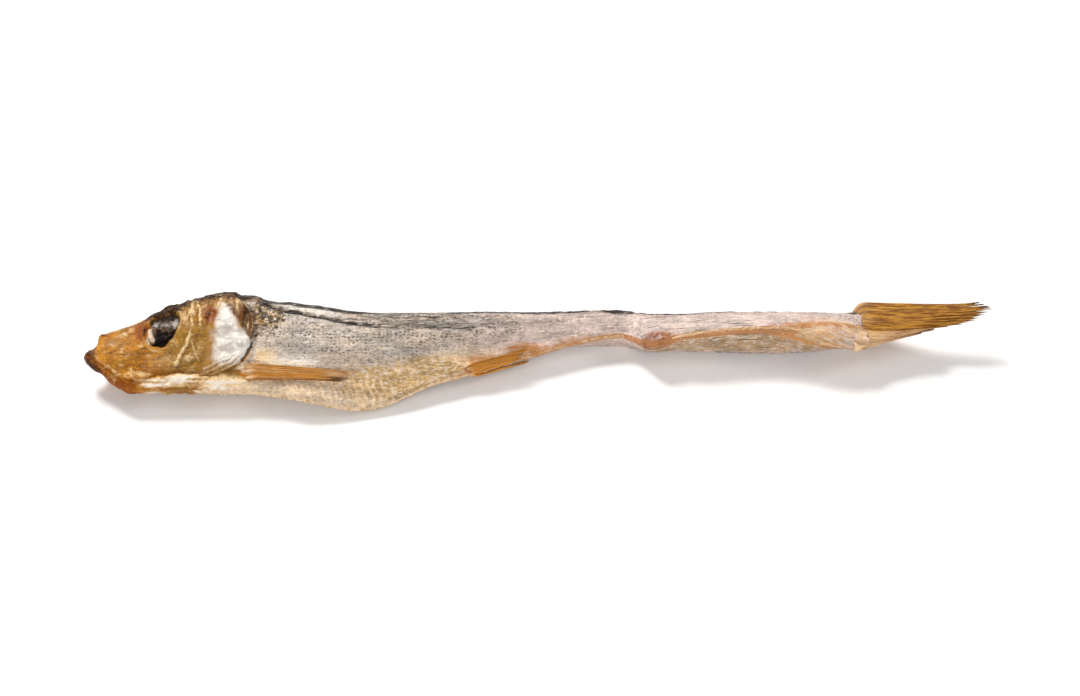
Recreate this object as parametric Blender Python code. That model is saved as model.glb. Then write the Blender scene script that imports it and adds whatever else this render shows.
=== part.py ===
"""A dried sprat: one small whole fish, stiff from drying, that lies on its right side.

The fish is one solid: a body swept through cross-sections from the snout to the root of the
tail, with the plates of the head, the eyes, the mouth and the shrunken flanks as relief, and
seven dried fins fused to it.

It is drawn straight and upright first, in the fish's own frame and in millimetres: x runs back
from the tip of the snout, h up towards the back and w out to the left side. lay_down() then
rolls each cross-section, follows the bent spine and gives the place on the floor.
"""

import bmesh
import bpy
import numpy as np

MM = 0.001

# Driving dimensions, in millimetres
TOTAL_LENGTH = 115.0  # tip of the snout to the longest rays of the tail fin
BODY_LENGTH = 98.0  # tip of the snout to the root of the tail fin
HEAD_LENGTH = 21.0  # tip of the snout to the rear edge of the gill cover
BODY_DEPTH = 13.4  # back to keel where the belly is deepest
BACK_OVER_BELLY = 3.9  # how much of that lies above the middle line
BODY_THICKNESS = 7.2  # left to right behind the shoulder
HEAD_THICKNESS = 8.2  # left to right across the gill covers

# Places along the fish, from the tip of the snout
JAW_JOINT = 6.2
EYE = 9.7
CHEEK = 14.5
NAPE = 18.4
SHOULDER = 24.0
BELLY = 33.6
PELVIC = 48.3
VENT = 71.3
STALK = 85.0

# The outline, as height above and below the middle line
BACK_OUTLINE = (
    (0.0, -1.9),
    (1.2, -0.8),
    (1.9, 0.6),
    (JAW_JOINT, 2.5),
    (EYE, 4.5),
    (CHEEK, 6.0),
    (NAPE, 7.0),
    (HEAD_LENGTH, 6.0),
    (SHOULDER, 5.7),
    (28.5, 5.0),
    (37.0, 3.8),
    (PELVIC, 3.8),
    (60.0, 3.5),
    (VENT, 3.2),
    (STALK, 2.9),
    (96.5, 3.4),
    (BODY_LENGTH, 3.2),
)
KEEL_OUTLINE = (
    (0.0, -3.0),
    (1.1, -4.6),
    (3.5, -6.4),
    (JAW_JOINT, -7.5),
    (CHEEK, -7.5),
    (HEAD_LENGTH, -7.6),
    (28.0, -8.9),
    (BELLY, BACK_OVER_BELLY - BODY_DEPTH),
    (37.4, -9.0),
    (44.0, -6.2),
    (PELVIC, -4.8),
    (56.0, -2.6),
    (61.0, -1.1),
    (67.2, -0.2),
    (VENT, -3.9),
    (75.0, -3.1),
    (STALK, -2.8),
    (93.0, -3.8),
    (96.5, -4.0),
    (BODY_LENGTH, -3.8),
)
THICKNESS = (
    (0.0, 1.9),
    (2.0, 3.5),
    (JAW_JOINT, 5.0),
    (EYE, 5.9),
    (CHEEK, 7.4),
    (NAPE, HEAD_THICKNESS),
    (HEAD_LENGTH, 7.6),
    (SHOULDER, 7.0),
    (BELLY, BODY_THICKNESS),
    (PELVIC, 6.2),
    (60.0, 5.2),
    (VENT, 4.9),
    (STALK, 5.2),
    (92.0, 4.8),
    (95.5, 3.6),
    (BODY_LENGTH, 1.4),
)
# Where between back (0) and keel (1) the fish is thickest, and how thick the keel is beside that
WIDEST_LEVEL = ((0.0, 0.5), (EYE, 0.42), (NAPE, 0.36), (BELLY, 0.27), (VENT, 0.4), (BODY_LENGTH, 0.5))
KEEL_SHARE = ((0.0, 0.8), (JAW_JOINT, 0.5), (NAPE, 0.4), (BELLY, 0.2), (60.0, 0.3), (BODY_LENGTH, 0.5))

# How the dried fish lies: the spine's bends to the back and up, and the roll of the keel, in
# degrees above the horizon. The tail half has twisted as it dried, so its keel looks up.
SPINE_BACKWARDS = (
    (0.0, -0.3),
    (30.0, 0.0),
    (45.0, 0.6),
    (60.0, 1.7),
    (VENT, 2.4),
    (80.0, 2.6),
    (93.0, 2.3),
    (TOTAL_LENGTH, 3.2),
)
SPINE_HEIGHT = (
    (0.0, 4.1),
    (NAPE, 3.85),
    (28.0, 3.45),
    (38.0, 3.1),
    (PELVIC, 2.75),
    (60.0, 2.55),
    (VENT, 2.75),
    (STALK, 2.9),
    (BODY_LENGTH, 3.6),
    (TOTAL_LENGTH, 5.2),
)
KEEL_ROLL = (
    (0.0, -11.0),
    (50.0, -12.0),
    (60.0, 0.0),
    (VENT, 27.0),
    (80.0, 46.0),
    (86.0, 52.0),
    (92.0, 40.0),
    (BODY_LENGTH, 6.0),
    (104.0, -8.0),
    (TOTAL_LENGTH, -6.0),
)
FLOOR_BITE = 0.2  # how far the lowest places are pressed flat against the floor

# The eye: its socket is an upright oval that leans back
EYE_CENTRE = (EYE, 0.9)
EYE_SIZE = (2.25, 2.75)
EYE_LEAN = 14.0
SOCKET_DEPTH = 0.75
EYEBALL_RISE = 0.6

# Lines of the head, as (x, h) along each side
MOUTH_LINE = ((-0.2, -1.3), (1.4, -3.4), (3.6, -5.4), (JAW_JOINT, -6.0))
UPPER_JAW_LINE = ((1.6, -0.6), (4.6, -1.8), (6.9, -3.8), (7.2, -5.6))
CHEEK_RIDGE = ((12.0, 4.2), (13.6, 1.2), (13.7, -2.4), (11.9, -5.2), (7.6, -6.2))
GILL_EDGE = (
    (11.5, -7.0),
    (15.4, -6.4),
    (18.7, -5.0),
    (20.7, -3.0),
    (21.2, -0.6),
    (20.8, 1.6),
    (19.8, 3.6),
    (18.8, 5.4),
)
BACK_GROOVE = ((22.5, 4.3), (26.5, 2.7), (31.0, 1.2), (37.0, 0.3), (48.0, 0.2), (60.0, 0.3))

# The fins, as where each starts and ends along the fish
BREAST_FIN = (21.4, 35.2)
BELLY_FIN = (PELVIC, 56.0)
BACK_FIN = (47.0, 57.0)
VENT_FIN = (73.0, 93.0)
# The tail fin's rays from the top (0) to the bottom (1): how far back they end, and at what height
TAIL_TIPS = ((0.0, 112.5), (0.18, TOTAL_LENGTH), (0.45, 112.6), (0.56, 107.6), (0.8, 107.2), (1.0, 105.5))
TAIL_SPREAD = ((0.0, 1.9), (0.5, -0.3), (1.0, -1.6))
FIN_UNEVENNESS = 0.06  # how far a ray of a fin bends to the side
TAIL_FLARE = (3.4, -2.3)  # how far the top and bottom rays spread where they leave the body

# Each stretch of the body, as where it ends and how far apart its cross-sections are
STRETCHES = ((22.5, 0.5), (64.4, 2.0), (78.0, 1.05), (94.0, 2.0), (BODY_LENGTH, 0.8))
POINTS_ROUND = 46  # points round each cross-section
SEED = 7


def curve_through(keys):
    """A smooth function through the keys that never overshoots them."""
    places, values = np.array(keys, float).T
    gaps = np.diff(places)
    slopes = np.diff(values) / gaps
    tangents = np.zeros_like(values)
    same_way = slopes[1:] * slopes[:-1] > 0
    tangents[1:-1][same_way] = 2 / (1 / slopes[1:][same_way] + 1 / slopes[:-1][same_way])
    tangents[0], tangents[-1] = slopes[0], slopes[-1]

    def at(place):
        place = np.clip(place, places[0], places[-1])
        i = np.clip(np.searchsorted(places, place, side="right") - 1, 0, len(gaps) - 1)
        t = (place - places[i]) / gaps[i]
        start = values[i] * (1 + 2 * t) + tangents[i] * gaps[i] * t
        end = values[i + 1] * (3 - 2 * t) - tangents[i + 1] * gaps[i] * (1 - t)
        return start * (1 - t) ** 2 + end * t**2

    return at


back_at = curve_through(BACK_OUTLINE)
keel_at = curve_through(KEEL_OUTLINE)
thickness_at = curve_through(THICKNESS)
widest_at = curve_through(WIDEST_LEVEL)
keel_share_at = curve_through(KEEL_SHARE)
backwards_at = curve_through(SPINE_BACKWARDS)
height_at = curve_through(SPINE_HEIGHT)
roll_at = curve_through(KEEL_ROLL)
gill_edge_at = curve_through([(h, x) for x, h in GILL_EDGE])


def ramp(value, start, end):
    """0 before start, 1 after end, and smooth between."""
    t = np.clip((value - start) / (end - start), 0, 1)
    return t * t * (3 - 2 * t)


def hump(value, centre, width):
    """1 at centre, falling to nothing within about two widths."""
    return np.exp(-(((value - centre) / width) ** 2))


def stroke_distance(line, x, h):
    """The distance from each point to a line of the head, and how far along it the nearest place is, 0 to 1."""
    line = np.array(line, float)
    best = np.full(np.shape(x), np.inf)
    along = np.zeros(np.shape(x))
    for i, (a, b) in enumerate(zip(line[:-1], line[1:])):
        way = b - a
        t = np.clip(((x - a[0]) * way[0] + (h - a[1]) * way[1]) / (way @ way), 0, 1)
        distance = np.hypot(x - a[0] - t * way[0], h - a[1] - t * way[1])
        nearer = distance < best
        best = np.where(nearer, distance, best)
        along = np.where(nearer, (i + t) / (len(line) - 1), along)
    return best, along


def half_thickness(x, level):
    """From the middle plane to the skin, where level is 0 on the back's edge and 1 on the keel's."""
    half = thickness_at(x) / 2
    widest = widest_at(x)
    keel = keel_share_at(x)
    above = np.sqrt(np.clip(1 - (1 - level / widest) ** 2, 0, 1))
    below = 1 - (1 - keel) * ramp(level, widest, 1.02)
    rounding = np.clip(keel * half / (back_at(x) - keel_at(x)), 0.03, 0.3)
    end = np.sqrt(np.clip(1 - (np.clip(level - 1 + rounding, 0, None) / rounding) ** 2, 0, 1))
    return half * np.where(level < widest, above, below) * end


def eye_radius(x, h):
    """Distance from the eye's centre, counted so that the socket's rim is at 1."""
    lean = np.radians(EYE_LEAN)
    dx, dh = x - EYE_CENTRE[0], h - EYE_CENTRE[1]
    across = dx * np.cos(lean) - dh * np.sin(lean)
    up = dx * np.sin(lean) + dh * np.cos(lean)
    return np.hypot(across / EYE_SIZE[0], up / EYE_SIZE[1])


def behind_gill_cover(x, h):
    """The distance behind the rear edge of the gill cover, less than 0 in front of it."""
    distance, along = stroke_distance(GILL_EDGE, x, h)
    return np.where(x > gill_edge_at(h), distance, -distance), along


def head_relief(x, h):
    """How far the skin of the head stands out of the plain body: eye, jaws, cheek and gill cover."""
    r = eye_radius(x, h)
    socket = -SOCKET_DEPTH * (1 - ramp(r, 0.7, 1.0))
    eyeball = (EYEBALL_RISE + 0.1) * np.sqrt(np.clip(1 - (r / 0.8) ** 2, 0, 1))
    rim = 0.3 * hump(r, 1.12, 0.17)
    mouth, _ = stroke_distance(MOUTH_LINE, x, h)
    upper_jaw, along_jaw = stroke_distance(UPPER_JAW_LINE, x, h)
    ridge, along_ridge = stroke_distance(CHEEK_RIDGE, x, h)
    behind, along_gill = behind_gill_cover(x, h)
    relief = socket + eyeball + rim
    relief -= 0.5 * hump(mouth, 0, 0.6)
    relief -= 0.25 * hump(upper_jaw, 0, 0.5) * ramp(along_jaw, 0, 0.3)
    relief += 0.3 * hump(ridge, 0, 0.6) * ramp(along_ridge, 0, 0.15)
    relief += 0.3 * ramp(behind, -4.5, -0.9) * (1 - ramp(behind, -0.3, 0.4)) * ramp(along_gill, 0, 0.3)
    relief -= 0.5 * hump(behind, 0.7, 0.6) * ramp(along_gill, 0, 0.25)
    return relief


def trunk_relief(x, h):
    """The shrunken flank: a long groove under the back muscle and a hollow over the belly."""
    groove, along = stroke_distance(BACK_GROOVE, x, h)
    level = (h - keel_at(x)) / (back_at(x) - keel_at(x))
    relief = -0.4 * hump(groove, 0, 0.7) * (1 - ramp(along, 0.75, 1.0))
    relief += 0.2 * hump(level, 0.86, 0.08) * ramp(x, SHOULDER, 30.0) * (1 - ramp(x, 58.0, 68.0))
    relief -= 0.55 * hump(level, 0.4, 0.2) * ramp(x, SHOULDER, 32.0) * (1 - ramp(x, 42.0, 58.0))
    return relief


def belly_wave(x, h):
    """The thin belly wall buckled sideways as it dried."""
    below = np.clip((-3.0 - h) / 6.0, 0, None)
    return 0.55 * below * np.sin((x - 22.0) * 2 * np.pi / 19.0)


def skin(x, angle):
    """(h, w) of the skin at x. The angle is 0 on the back, pi/2 on the left side and pi on the keel."""
    level = (1 - np.cos(angle)) / 2
    back, keel = back_at(x), keel_at(x)
    h = back - (back - keel) * level
    inner = ramp(level, 0.015, 0.12) * (1 - ramp(level, 0.93, 0.99))
    head_share = 1 - ramp(x, HEAD_LENGTH + 1.5, SHOULDER)
    relief = head_share * head_relief(x, h) + ramp(x, HEAD_LENGTH, SHOULDER) * trunk_relief(x, h)
    fading = ramp(x, 0.0, 1.5)
    w = half_thickness(x, level) + relief * inner * fading
    return h, np.sign(np.sin(angle) + 1e-12) * np.clip(w, 0, None) + belly_wave(x, h) * ramp(x, 20.0, 27.0)


def lay_down(x, h, w):
    """The fish's own (x, h, w) in millimetres as a place on the floor."""
    roll = np.radians(roll_at(x))
    along = x + 0 * h
    backwards = backwards_at(x) + h * np.cos(roll) + w * np.sin(roll)
    height = height_at(x) - h * np.sin(roll) + w * np.cos(roll)
    return np.stack(np.broadcast_arrays(along, backwards, height), axis=-1)


def stations():
    """The places of the cross-sections, closest where the form changes most."""
    places = [0.0]
    for end, step in STRETCHES:
        places.extend(np.linspace(places[-1], end, round((end - places[-1]) / step) + 1)[1:])
    return places


def angles_round():
    """The angles of the points round a cross-section, closer together on the sides than on the back and keel."""
    even = np.linspace(0, 2 * np.pi, POINTS_ROUND, endpoint=False)
    return even + 0.16 * np.sin(2 * even)


def new_object(name, bm, collection):
    """Turns a bmesh in millimetres into an object in metres."""
    bmesh.ops.recalc_face_normals(bm, faces=bm.faces)
    bmesh.ops.scale(bm, vec=(MM, MM, MM), verts=bm.verts)
    mesh = bpy.data.meshes.new(name)
    bm.to_mesh(mesh)
    bm.free()
    made = bpy.data.objects.new(name, mesh)
    collection.objects.link(made)
    return made


def make_body(collection):
    """The body from snout to tail root: rings of points joined by faces, closed by a point at each end."""
    bm = bmesh.new()
    angles = angles_round()
    rings = []
    for x in stations():
        h, w = skin(x, angles)
        rings.append([bm.verts.new(point) for point in lay_down(x, h, w)])
    for near, far in zip(rings[:-1], rings[1:]):
        for i in range(POINTS_ROUND):
            j = (i + 1) % POINTS_ROUND
            bm.faces.new((near[i], near[j], far[j], far[i]))
    for ring, x, reach in ((rings[0], 0.0, -0.3), (rings[-1], BODY_LENGTH, 0.5)):
        middle = (back_at(x) + keel_at(x)) / 2
        tip = bm.verts.new(lay_down(x + reach, middle, 0.0))
        for i in range(POINTS_ROUND):
            bm.faces.new((ring[i], ring[(i + 1) % POINTS_ROUND], tip))
    bmesh.ops.triangulate(bm, faces=bm.faces)
    return new_object("sprat", bm, collection)


def make_fin(name, place, rays, segments, thickness, collection, random):
    """A dried fin: stiff rays with thinner, shorter skin between them, so that its edge is ragged.

    place(share, along) gives the fish's own (x, h, w) for a share from 0 to 1 across the fin and
    the places along it, which are 0 at its root and 1 at its edge.
    """
    columns = 2 * rays - 1
    bm = bmesh.new()
    grid = []
    for column in range(columns):
        reach = (1.0 if column % 2 == 0 else 0.9) - 0.07 * random.random()
        along = np.linspace(0, 1, segments + 1) * reach
        x, h, w = place(column / (columns - 1), along)
        w = w + FIN_UNEVENNESS * (random.random() - 0.5) * along
        grid.append([bm.verts.new(point) for point in lay_down(x, h, w)])
    for left, right in zip(grid[:-1], grid[1:]):
        for i in range(segments):
            bm.faces.new((left[i], right[i], right[i + 1]))
            bm.faces.new((left[i], right[i + 1], left[i + 1]))
    made = new_object(name, bm, collection)
    thick = made.vertex_groups.new(name="thick")
    for column in range(columns):
        for i in range(segments + 1):
            ray_share = 1.0 if column % 2 == 0 else 0.6
            thick.add([column * (segments + 1) + i], ray_share * (1 - 0.45 * i / segments), "REPLACE")
    sheet = made.modifiers.new("thickness", "SOLIDIFY")
    sheet.thickness = thickness * MM
    sheet.offset = 0.0
    sheet.vertex_group = "thick"
    sheet.thickness_vertex_group = 0.2


def side_skin(x, h, side):
    """w of the skin at a place on the left (1) or right (-1) side."""
    level = np.clip((back_at(x) - h) / (back_at(x) - keel_at(x)), 0.0, 1.0)
    return skin(x, np.arccos(1 - 2 * level) * side)[1]


def blend(start, end, share):
    return start + (end - start) * share


def tail_fin(share, along):
    """The closed tail: a long upper lobe over a shorter lower one, both flared at the root."""
    x = blend(BODY_LENGTH - 2.5, curve_through(TAIL_TIPS)(share), along)
    h = blend(2.4 - 5.2 * share, curve_through(TAIL_SPREAD)(share), along)
    flare = blend(*TAIL_FLARE, share) * ramp(along, 0.04, 0.17) * (1 - along) ** 2
    return x, h + flare, 0.5 * np.sin(share * 9.0) * along


def back_fin(share, along):
    """The back fin, folded down over the side that faces the floor."""
    x = blend(*BACK_FIN, share) + 4.5 * along
    return x, back_at(x) - 0.35 + (0.25 - 0.5 * share) * along, -0.5 - (2.4 - 0.9 * share) * along


def vent_fin(share, along):
    """The low fin behind the vent."""
    x = blend(*VENT_FIN, share) + 2.6 * along
    return x, keel_at(x) + 0.5 - (1.7 - 0.5 * share) * along, 0.5 * along


def breast_fin(share, along, side):
    """A breast fin, folded back along the flank."""
    x = blend(BREAST_FIN[0] + 0.3 * share, BREAST_FIN[1] - 1.8 * share, along)
    h = blend(-4.5 - 2.0 * share, -5.4 - 1.1 * share, along)
    return x, h, side_skin(x, h, side) + side * (0.6 * np.sqrt(along) - 0.35)


def belly_fin(share, along, side):
    """A belly fin, folded back along the keel."""
    x = blend(BELLY_FIN[0] + 0.8 * share, BELLY_FIN[1] - 1.4 * share, along)
    h = keel_at(x) + blend(1.1 - 1.0 * share, 0.8 - 1.0 * share, along)
    return x, h, side * blend(0.7, 1.1, along)


def make_fins(collection):
    """The tail fin, the back and vent fins, and the two pairs of breast and belly fins."""
    random = np.random.default_rng(SEED)
    make_fin("tail_fin", tail_fin, 15, 7, 0.7, collection, random)
    make_fin("back_fin", back_fin, 9, 4, 0.6, collection, random)
    make_fin("vent_fin", vent_fin, 12, 3, 0.6, collection, random)
    for side, word in ((1, "left"), (-1, "right")):
        breast = lambda share, along, side=side: breast_fin(share, along, side)
        belly = lambda share, along, side=side: belly_fin(share, along, side)
        make_fin(f"breast_fin_{word}", breast, 5, 8, 0.6, collection, random)
        make_fin(f"belly_fin_{word}", belly, 4, 5, 0.6, collection, random)


def fuse(body, collection):
    """Joins everything in the collection to the body as one solid."""
    union = body.modifiers.new("fins", "BOOLEAN")
    union.operation = "UNION"
    union.operand_type = "COLLECTION"
    union.collection = collection
    union.solver = "EXACT"
    graph = bpy.context.evaluated_depsgraph_get()
    fused = bpy.data.meshes.new_from_object(body.evaluated_get(graph))
    body.modifiers.clear()
    body.data = fused
    for part in list(collection.objects):
        bpy.data.objects.remove(part)
    bpy.data.collections.remove(collection)


def set_on_floor(body):
    """Presses the lowest places flat and puts the origin under the middle of the fish."""
    count = len(body.data.vertices)
    points = np.empty(count * 3)
    body.data.vertices.foreach_get("co", points)
    points = points.reshape(-1, 3)
    points[:, 2] = np.maximum(points[:, 2] - points[:, 2].min() - FLOOR_BITE * MM, 0.0)
    middle = (points.min(axis=0) + points.max(axis=0)) / 2
    points[:, :2] -= middle[:2]
    body.data.vertices.foreach_set("co", points.ravel())
    body.data.update()


def dried_skin():
    """Silver grey skin, dull from drying."""
    material = bpy.data.materials.new("dried_fish_skin")
    material.use_nodes = True
    shader = material.node_tree.nodes["Principled BSDF"]
    shader.inputs["Base Color"].default_value = (0.45, 0.40, 0.32, 1.0)
    shader.inputs["Roughness"].default_value = 0.42
    shader.inputs["Metallic"].default_value = 0.15
    return material


def main():
    for old in list(bpy.data.objects):
        bpy.data.objects.remove(old)
    scene = bpy.context.scene
    fins = bpy.data.collections.new("fins")
    scene.collection.children.link(fins)
    sprat = make_body(scene.collection)
    make_fins(fins)
    fuse(sprat, fins)
    set_on_floor(sprat)
    sprat.data.materials.clear()
    sprat.data.materials.append(dried_skin())
    sprat.data.shade_smooth()
    sprat.data.set_sharp_from_angle(angle=np.radians(50))


main()
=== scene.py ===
"""A dried sprat: the finished surfaces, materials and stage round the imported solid.

The fish is described in its own frame and in millimetres, as if it were straight and upright:
x runs back from the tip of the snout, h up towards the back and w out to the left side.
An angle goes round each cross-section, from 0 on the back over pi/2 on the left side to pi on
the keel. lay_down() rolls the cross-sections, follows the bent spine and gives the place on
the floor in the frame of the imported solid.
"""

from functools import partial

import bpy
import numpy as np
from bpy.props import FloatProperty, FloatVectorProperty, IntProperty, PointerProperty
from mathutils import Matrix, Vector


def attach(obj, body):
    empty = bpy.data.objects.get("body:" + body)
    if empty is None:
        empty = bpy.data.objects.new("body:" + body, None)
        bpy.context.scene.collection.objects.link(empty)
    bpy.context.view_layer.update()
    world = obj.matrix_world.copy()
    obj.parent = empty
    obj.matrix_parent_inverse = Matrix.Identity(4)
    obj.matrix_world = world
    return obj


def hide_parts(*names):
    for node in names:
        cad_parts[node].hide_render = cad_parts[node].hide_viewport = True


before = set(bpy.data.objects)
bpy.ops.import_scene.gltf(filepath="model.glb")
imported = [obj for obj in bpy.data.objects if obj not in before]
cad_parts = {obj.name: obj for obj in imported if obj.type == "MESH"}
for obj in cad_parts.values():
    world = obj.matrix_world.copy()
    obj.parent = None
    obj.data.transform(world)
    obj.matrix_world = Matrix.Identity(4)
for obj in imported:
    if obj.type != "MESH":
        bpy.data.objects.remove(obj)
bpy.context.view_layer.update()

bl_info = {
    "name": "Dried sprat",
    "version": (1, 0, 0),
    "blender": (4, 5, 0),
    "location": "3D view > Sidebar > Sprat",
    "description": "Makes the surfaces, fins, materials and stage of a dried sprat",
    "category": "Object",
}

MM = 0.001

# Where the fish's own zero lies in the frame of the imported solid
CAD_SHIFT = (-57.1636, 1.1645, 0.0952)

BODY_DEPTH = 13.4  # back to keel where the belly is deepest
BACK_OVER_BELLY = 3.9  # how much of that lies above the middle line
HEAD_THICKNESS = 8.2  # side to side at the gill covers
BODY_THICKNESS = 7.2  # side to side at the belly

# Lengths along the fish from the tip of the snout
TOTAL_LENGTH = 115.0
BODY_LENGTH = 98.0
HEAD_LENGTH = 21.0
JAW_JOINT = 6.2
EYE = 9.7
CHEEK = 14.5
NAPE = 18.4
SHOULDER = 24.0
BELLY = 33.6
PELVIC = 48.3
VENT = 71.3
STALK = 85.0
NECK = 22.5  # where the head's surface meets the body's

# Values along the fish, as (x, value): the heights of back and keel, the thickness, the level where it
# is widest (0 is the back and 1 the keel), the keel's thickness as a share of the widest, how far back
# and how high the spine lies, and the degrees by which the keel is rolled up
BACK_OUTLINE = (
    (0.0, -1.9), (1.2, -0.8), (1.9, 0.6), (JAW_JOINT, 2.5), (EYE, 4.5), (CHEEK, 6.0), (NAPE, 7.0),
    (HEAD_LENGTH, 6.0), (SHOULDER, 5.7), (28.5, 5.0), (37.0, 3.8), (PELVIC, 3.8), (60.0, 3.5),
    (VENT, 3.2), (STALK, 2.9), (96.5, 3.4), (BODY_LENGTH, 3.2),
)
KEEL_OUTLINE = (
    (0.0, -3.0), (1.1, -4.6), (3.5, -6.4), (JAW_JOINT, -7.5), (CHEEK, -7.5), (HEAD_LENGTH, -7.6),
    (28.0, -8.9), (BELLY, BACK_OVER_BELLY - BODY_DEPTH), (37.4, -9.0), (44.0, -6.2), (PELVIC, -4.8),
    (56.0, -2.6), (61.0, -1.1), (67.2, -0.2), (VENT, -3.9), (75.0, -3.1), (STALK, -2.8), (93.0, -3.8),
    (96.5, -4.0), (BODY_LENGTH, -3.8),
)
THICKNESS = (
    (0.0, 1.9), (2.0, 3.5), (JAW_JOINT, 5.0), (EYE, 5.9), (CHEEK, 7.4), (NAPE, HEAD_THICKNESS),
    (HEAD_LENGTH, 7.6), (SHOULDER, 7.0), (BELLY, BODY_THICKNESS), (PELVIC, 6.2), (60.0, 5.2),
    (VENT, 4.9), (STALK, 5.2), (92.0, 4.8), (95.5, 3.6), (BODY_LENGTH, 1.4),
)
WIDEST_LEVEL = ((0.0, 0.5), (EYE, 0.42), (NAPE, 0.36), (BELLY, 0.27), (VENT, 0.4), (BODY_LENGTH, 0.5))
KEEL_SHARE = ((0.0, 0.8), (JAW_JOINT, 0.5), (NAPE, 0.4), (BELLY, 0.2), (60.0, 0.3), (BODY_LENGTH, 0.5))
SPINE_BACKWARDS = (
    (0.0, -0.3), (30.0, 0.0), (45.0, 0.6), (60.0, 1.7), (VENT, 2.4), (80.0, 2.6), (93.0, 2.3),
    (TOTAL_LENGTH, 3.2),
)
SPINE_HEIGHT = (
    (0.0, 4.1), (NAPE, 3.85), (28.0, 3.45), (38.0, 3.1), (PELVIC, 2.75), (60.0, 2.55), (VENT, 2.75),
    (STALK, 2.9), (BODY_LENGTH, 3.6), (TOTAL_LENGTH, 5.2),
)
KEEL_ROLL = (
    (0.0, -11.0), (50.0, -12.0), (60.0, 0.0), (VENT, 27.0), (80.0, 46.0), (86.0, 52.0), (92.0, 40.0),
    (BODY_LENGTH, 6.0), (104.0, -8.0), (TOTAL_LENGTH, -6.0),
)

# The eye and its lens: (x, h) of the middle, and half the length and height
EYE_CENTRE = (9.7, 0.5)
EYE_SIZE = (2.1, 3.2)
EYE_LEAN = 14.0  # degrees by which its top leans back
LENS_CENTRE = (9.85, -1.5)
LENS_SIZE = (1.2, 0.95)

# Lines of the head, as (x, h) along each side
MOUTH_LINE = ((-0.3, -1.9), (1.0, -3.3), (2.4, -4.9), (4.0, -6.0), (JAW_JOINT, -6.8))
UPPER_JAW = ((0.7, -1.4), (2.6, -3.6), (4.6, -5.2), (6.0, -6.3))
CHEEK_RIDGE = ((14.6, 3.6), (13.6, 0.2), (13.1, -1.4), (12.4, -2.9), (11.6, -4.7))
CHEEK_BRANCH = ((13.1, -1.4), (13.9, -3.2), (14.3, -4.4))
THROAT_LINE = ((6.7, -6.9), (9.0, -6.0), (12.1, -5.6), (14.3, -5.8), (16.5, -6.0))
GILL_EDGE = (
    (11.5, -7.0), (15.4, -6.4), (18.7, -5.0), (20.7, -3.0), (21.2, -0.6), (20.8, 1.6), (19.8, 3.6),
    (18.8, 5.4),
)
PEARL_LINE = ((17.3, 2.2), (17.6, 0.4), (17.7, -1.5), (18.5, -2.2), (19.4, -2.3))
GILL_SLIT = ((19.7, -4.1), (21.0, -2.3))
TAIL_CREASE = ((84.0, -2.9), (88.0, -3.0), (92.0, -2.9), (95.0, -1.9), (98.0, -0.8))
GILL_FRONT = ((-6.3, 13.2), (-5.0, 14.7), (-3.0, 15.2), (0.0, 15.4), (2.5, 15.8), (5.2, 16.8))
JAW_BONE = ((5.9, -5.2), (6.1, -5.8), (6.3, -6.6))
BACK_GROOVE = ((22.5, 4.0), (24.0, 3.4), (28.7, 2.3), (33.0, 1.2), (37.0, 0.5), (48.0, 0.5), (60.0, 0.5))
SECOND_GROOVE = ((28.5, 2.4), (31.0, 2.2), (33.0, 1.9), (38.0, 1.6), (44.0, 1.8), (52.0, 1.7))
# How far the dark back reaches down the left flank; the twist of the tail half turns most of it away
DARK_BACK = (
    (NECK, 1.8), (30.0, 1.8), (38.0, 1.35), (46.0, 1.45), (58.0, 1.6), (64.0, 1.75), (70.0, 2.55),
    (76.0, 3.1), (86.0, 3.3), (91.0, 2.9), (94.5, 1.7), (BODY_LENGTH, 1.2),
)
DARK_BACK_RIGHT = 1.3  # the same on the right flank, behind the shoulders

# Breast and belly fin, from root to tip, and back and vent fin, from the first root to the last
BREAST_FIN = (20.0, 35.8)
BELLY_FIN = (PELVIC, 56.5)
BACK_FIN = (47.0, 57.0)
VENT_FIN = (73.0, 93.0)
# The tail fin from its upper edge (0) to its lower one (1): how far back and how high the tips lie.
# TAIL_FLARE says how far the upper and the lower edge curve outwards near the root
TAIL_TIPS = ((0.0, 112.5), (0.18, TOTAL_LENGTH), (0.45, 112.6), (0.56, 107.6), (0.8, 107.2), (1.0, 105.5))
TAIL_FLARE = (3.4, -2.3)
TAIL_SPREAD = ((0.0, 2.3), (0.5, -0.5), (1.0, -1.6))

# Ovals on each side, as (x, h, half length, half height)
BROW = (10.4, 4.3, 2.6, 0.7)
NOSTRIL = (4.9, 0.7, 0.34, 0.26)
TEMPLE = (13.6, 2.2, 2.5, 2.9)
SCALE_PATCH = (23.0, 1.8, 2.0, 1.9)

# From one wave, ray, fold, ring, stripe or scale to the next
BELLY_WAVE = 19.0
THROAT_RAY = 1.15
TEMPLE_FOLD = 0.6
GROWTH_RING = 0.8
GILL_STRIPE = 0.5
SCALE_STEP = (0.46, 0.4)

SCALE_RADIUS = 0.24
SOCKET_DEPTH = 1.05
GILL_COVER_ENDS = (5.0, -6.2)  # the heights of its upper and lower end
GROWTH_CENTRE = (15.5, 3.0)  # of the rings on the gill cover

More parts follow.
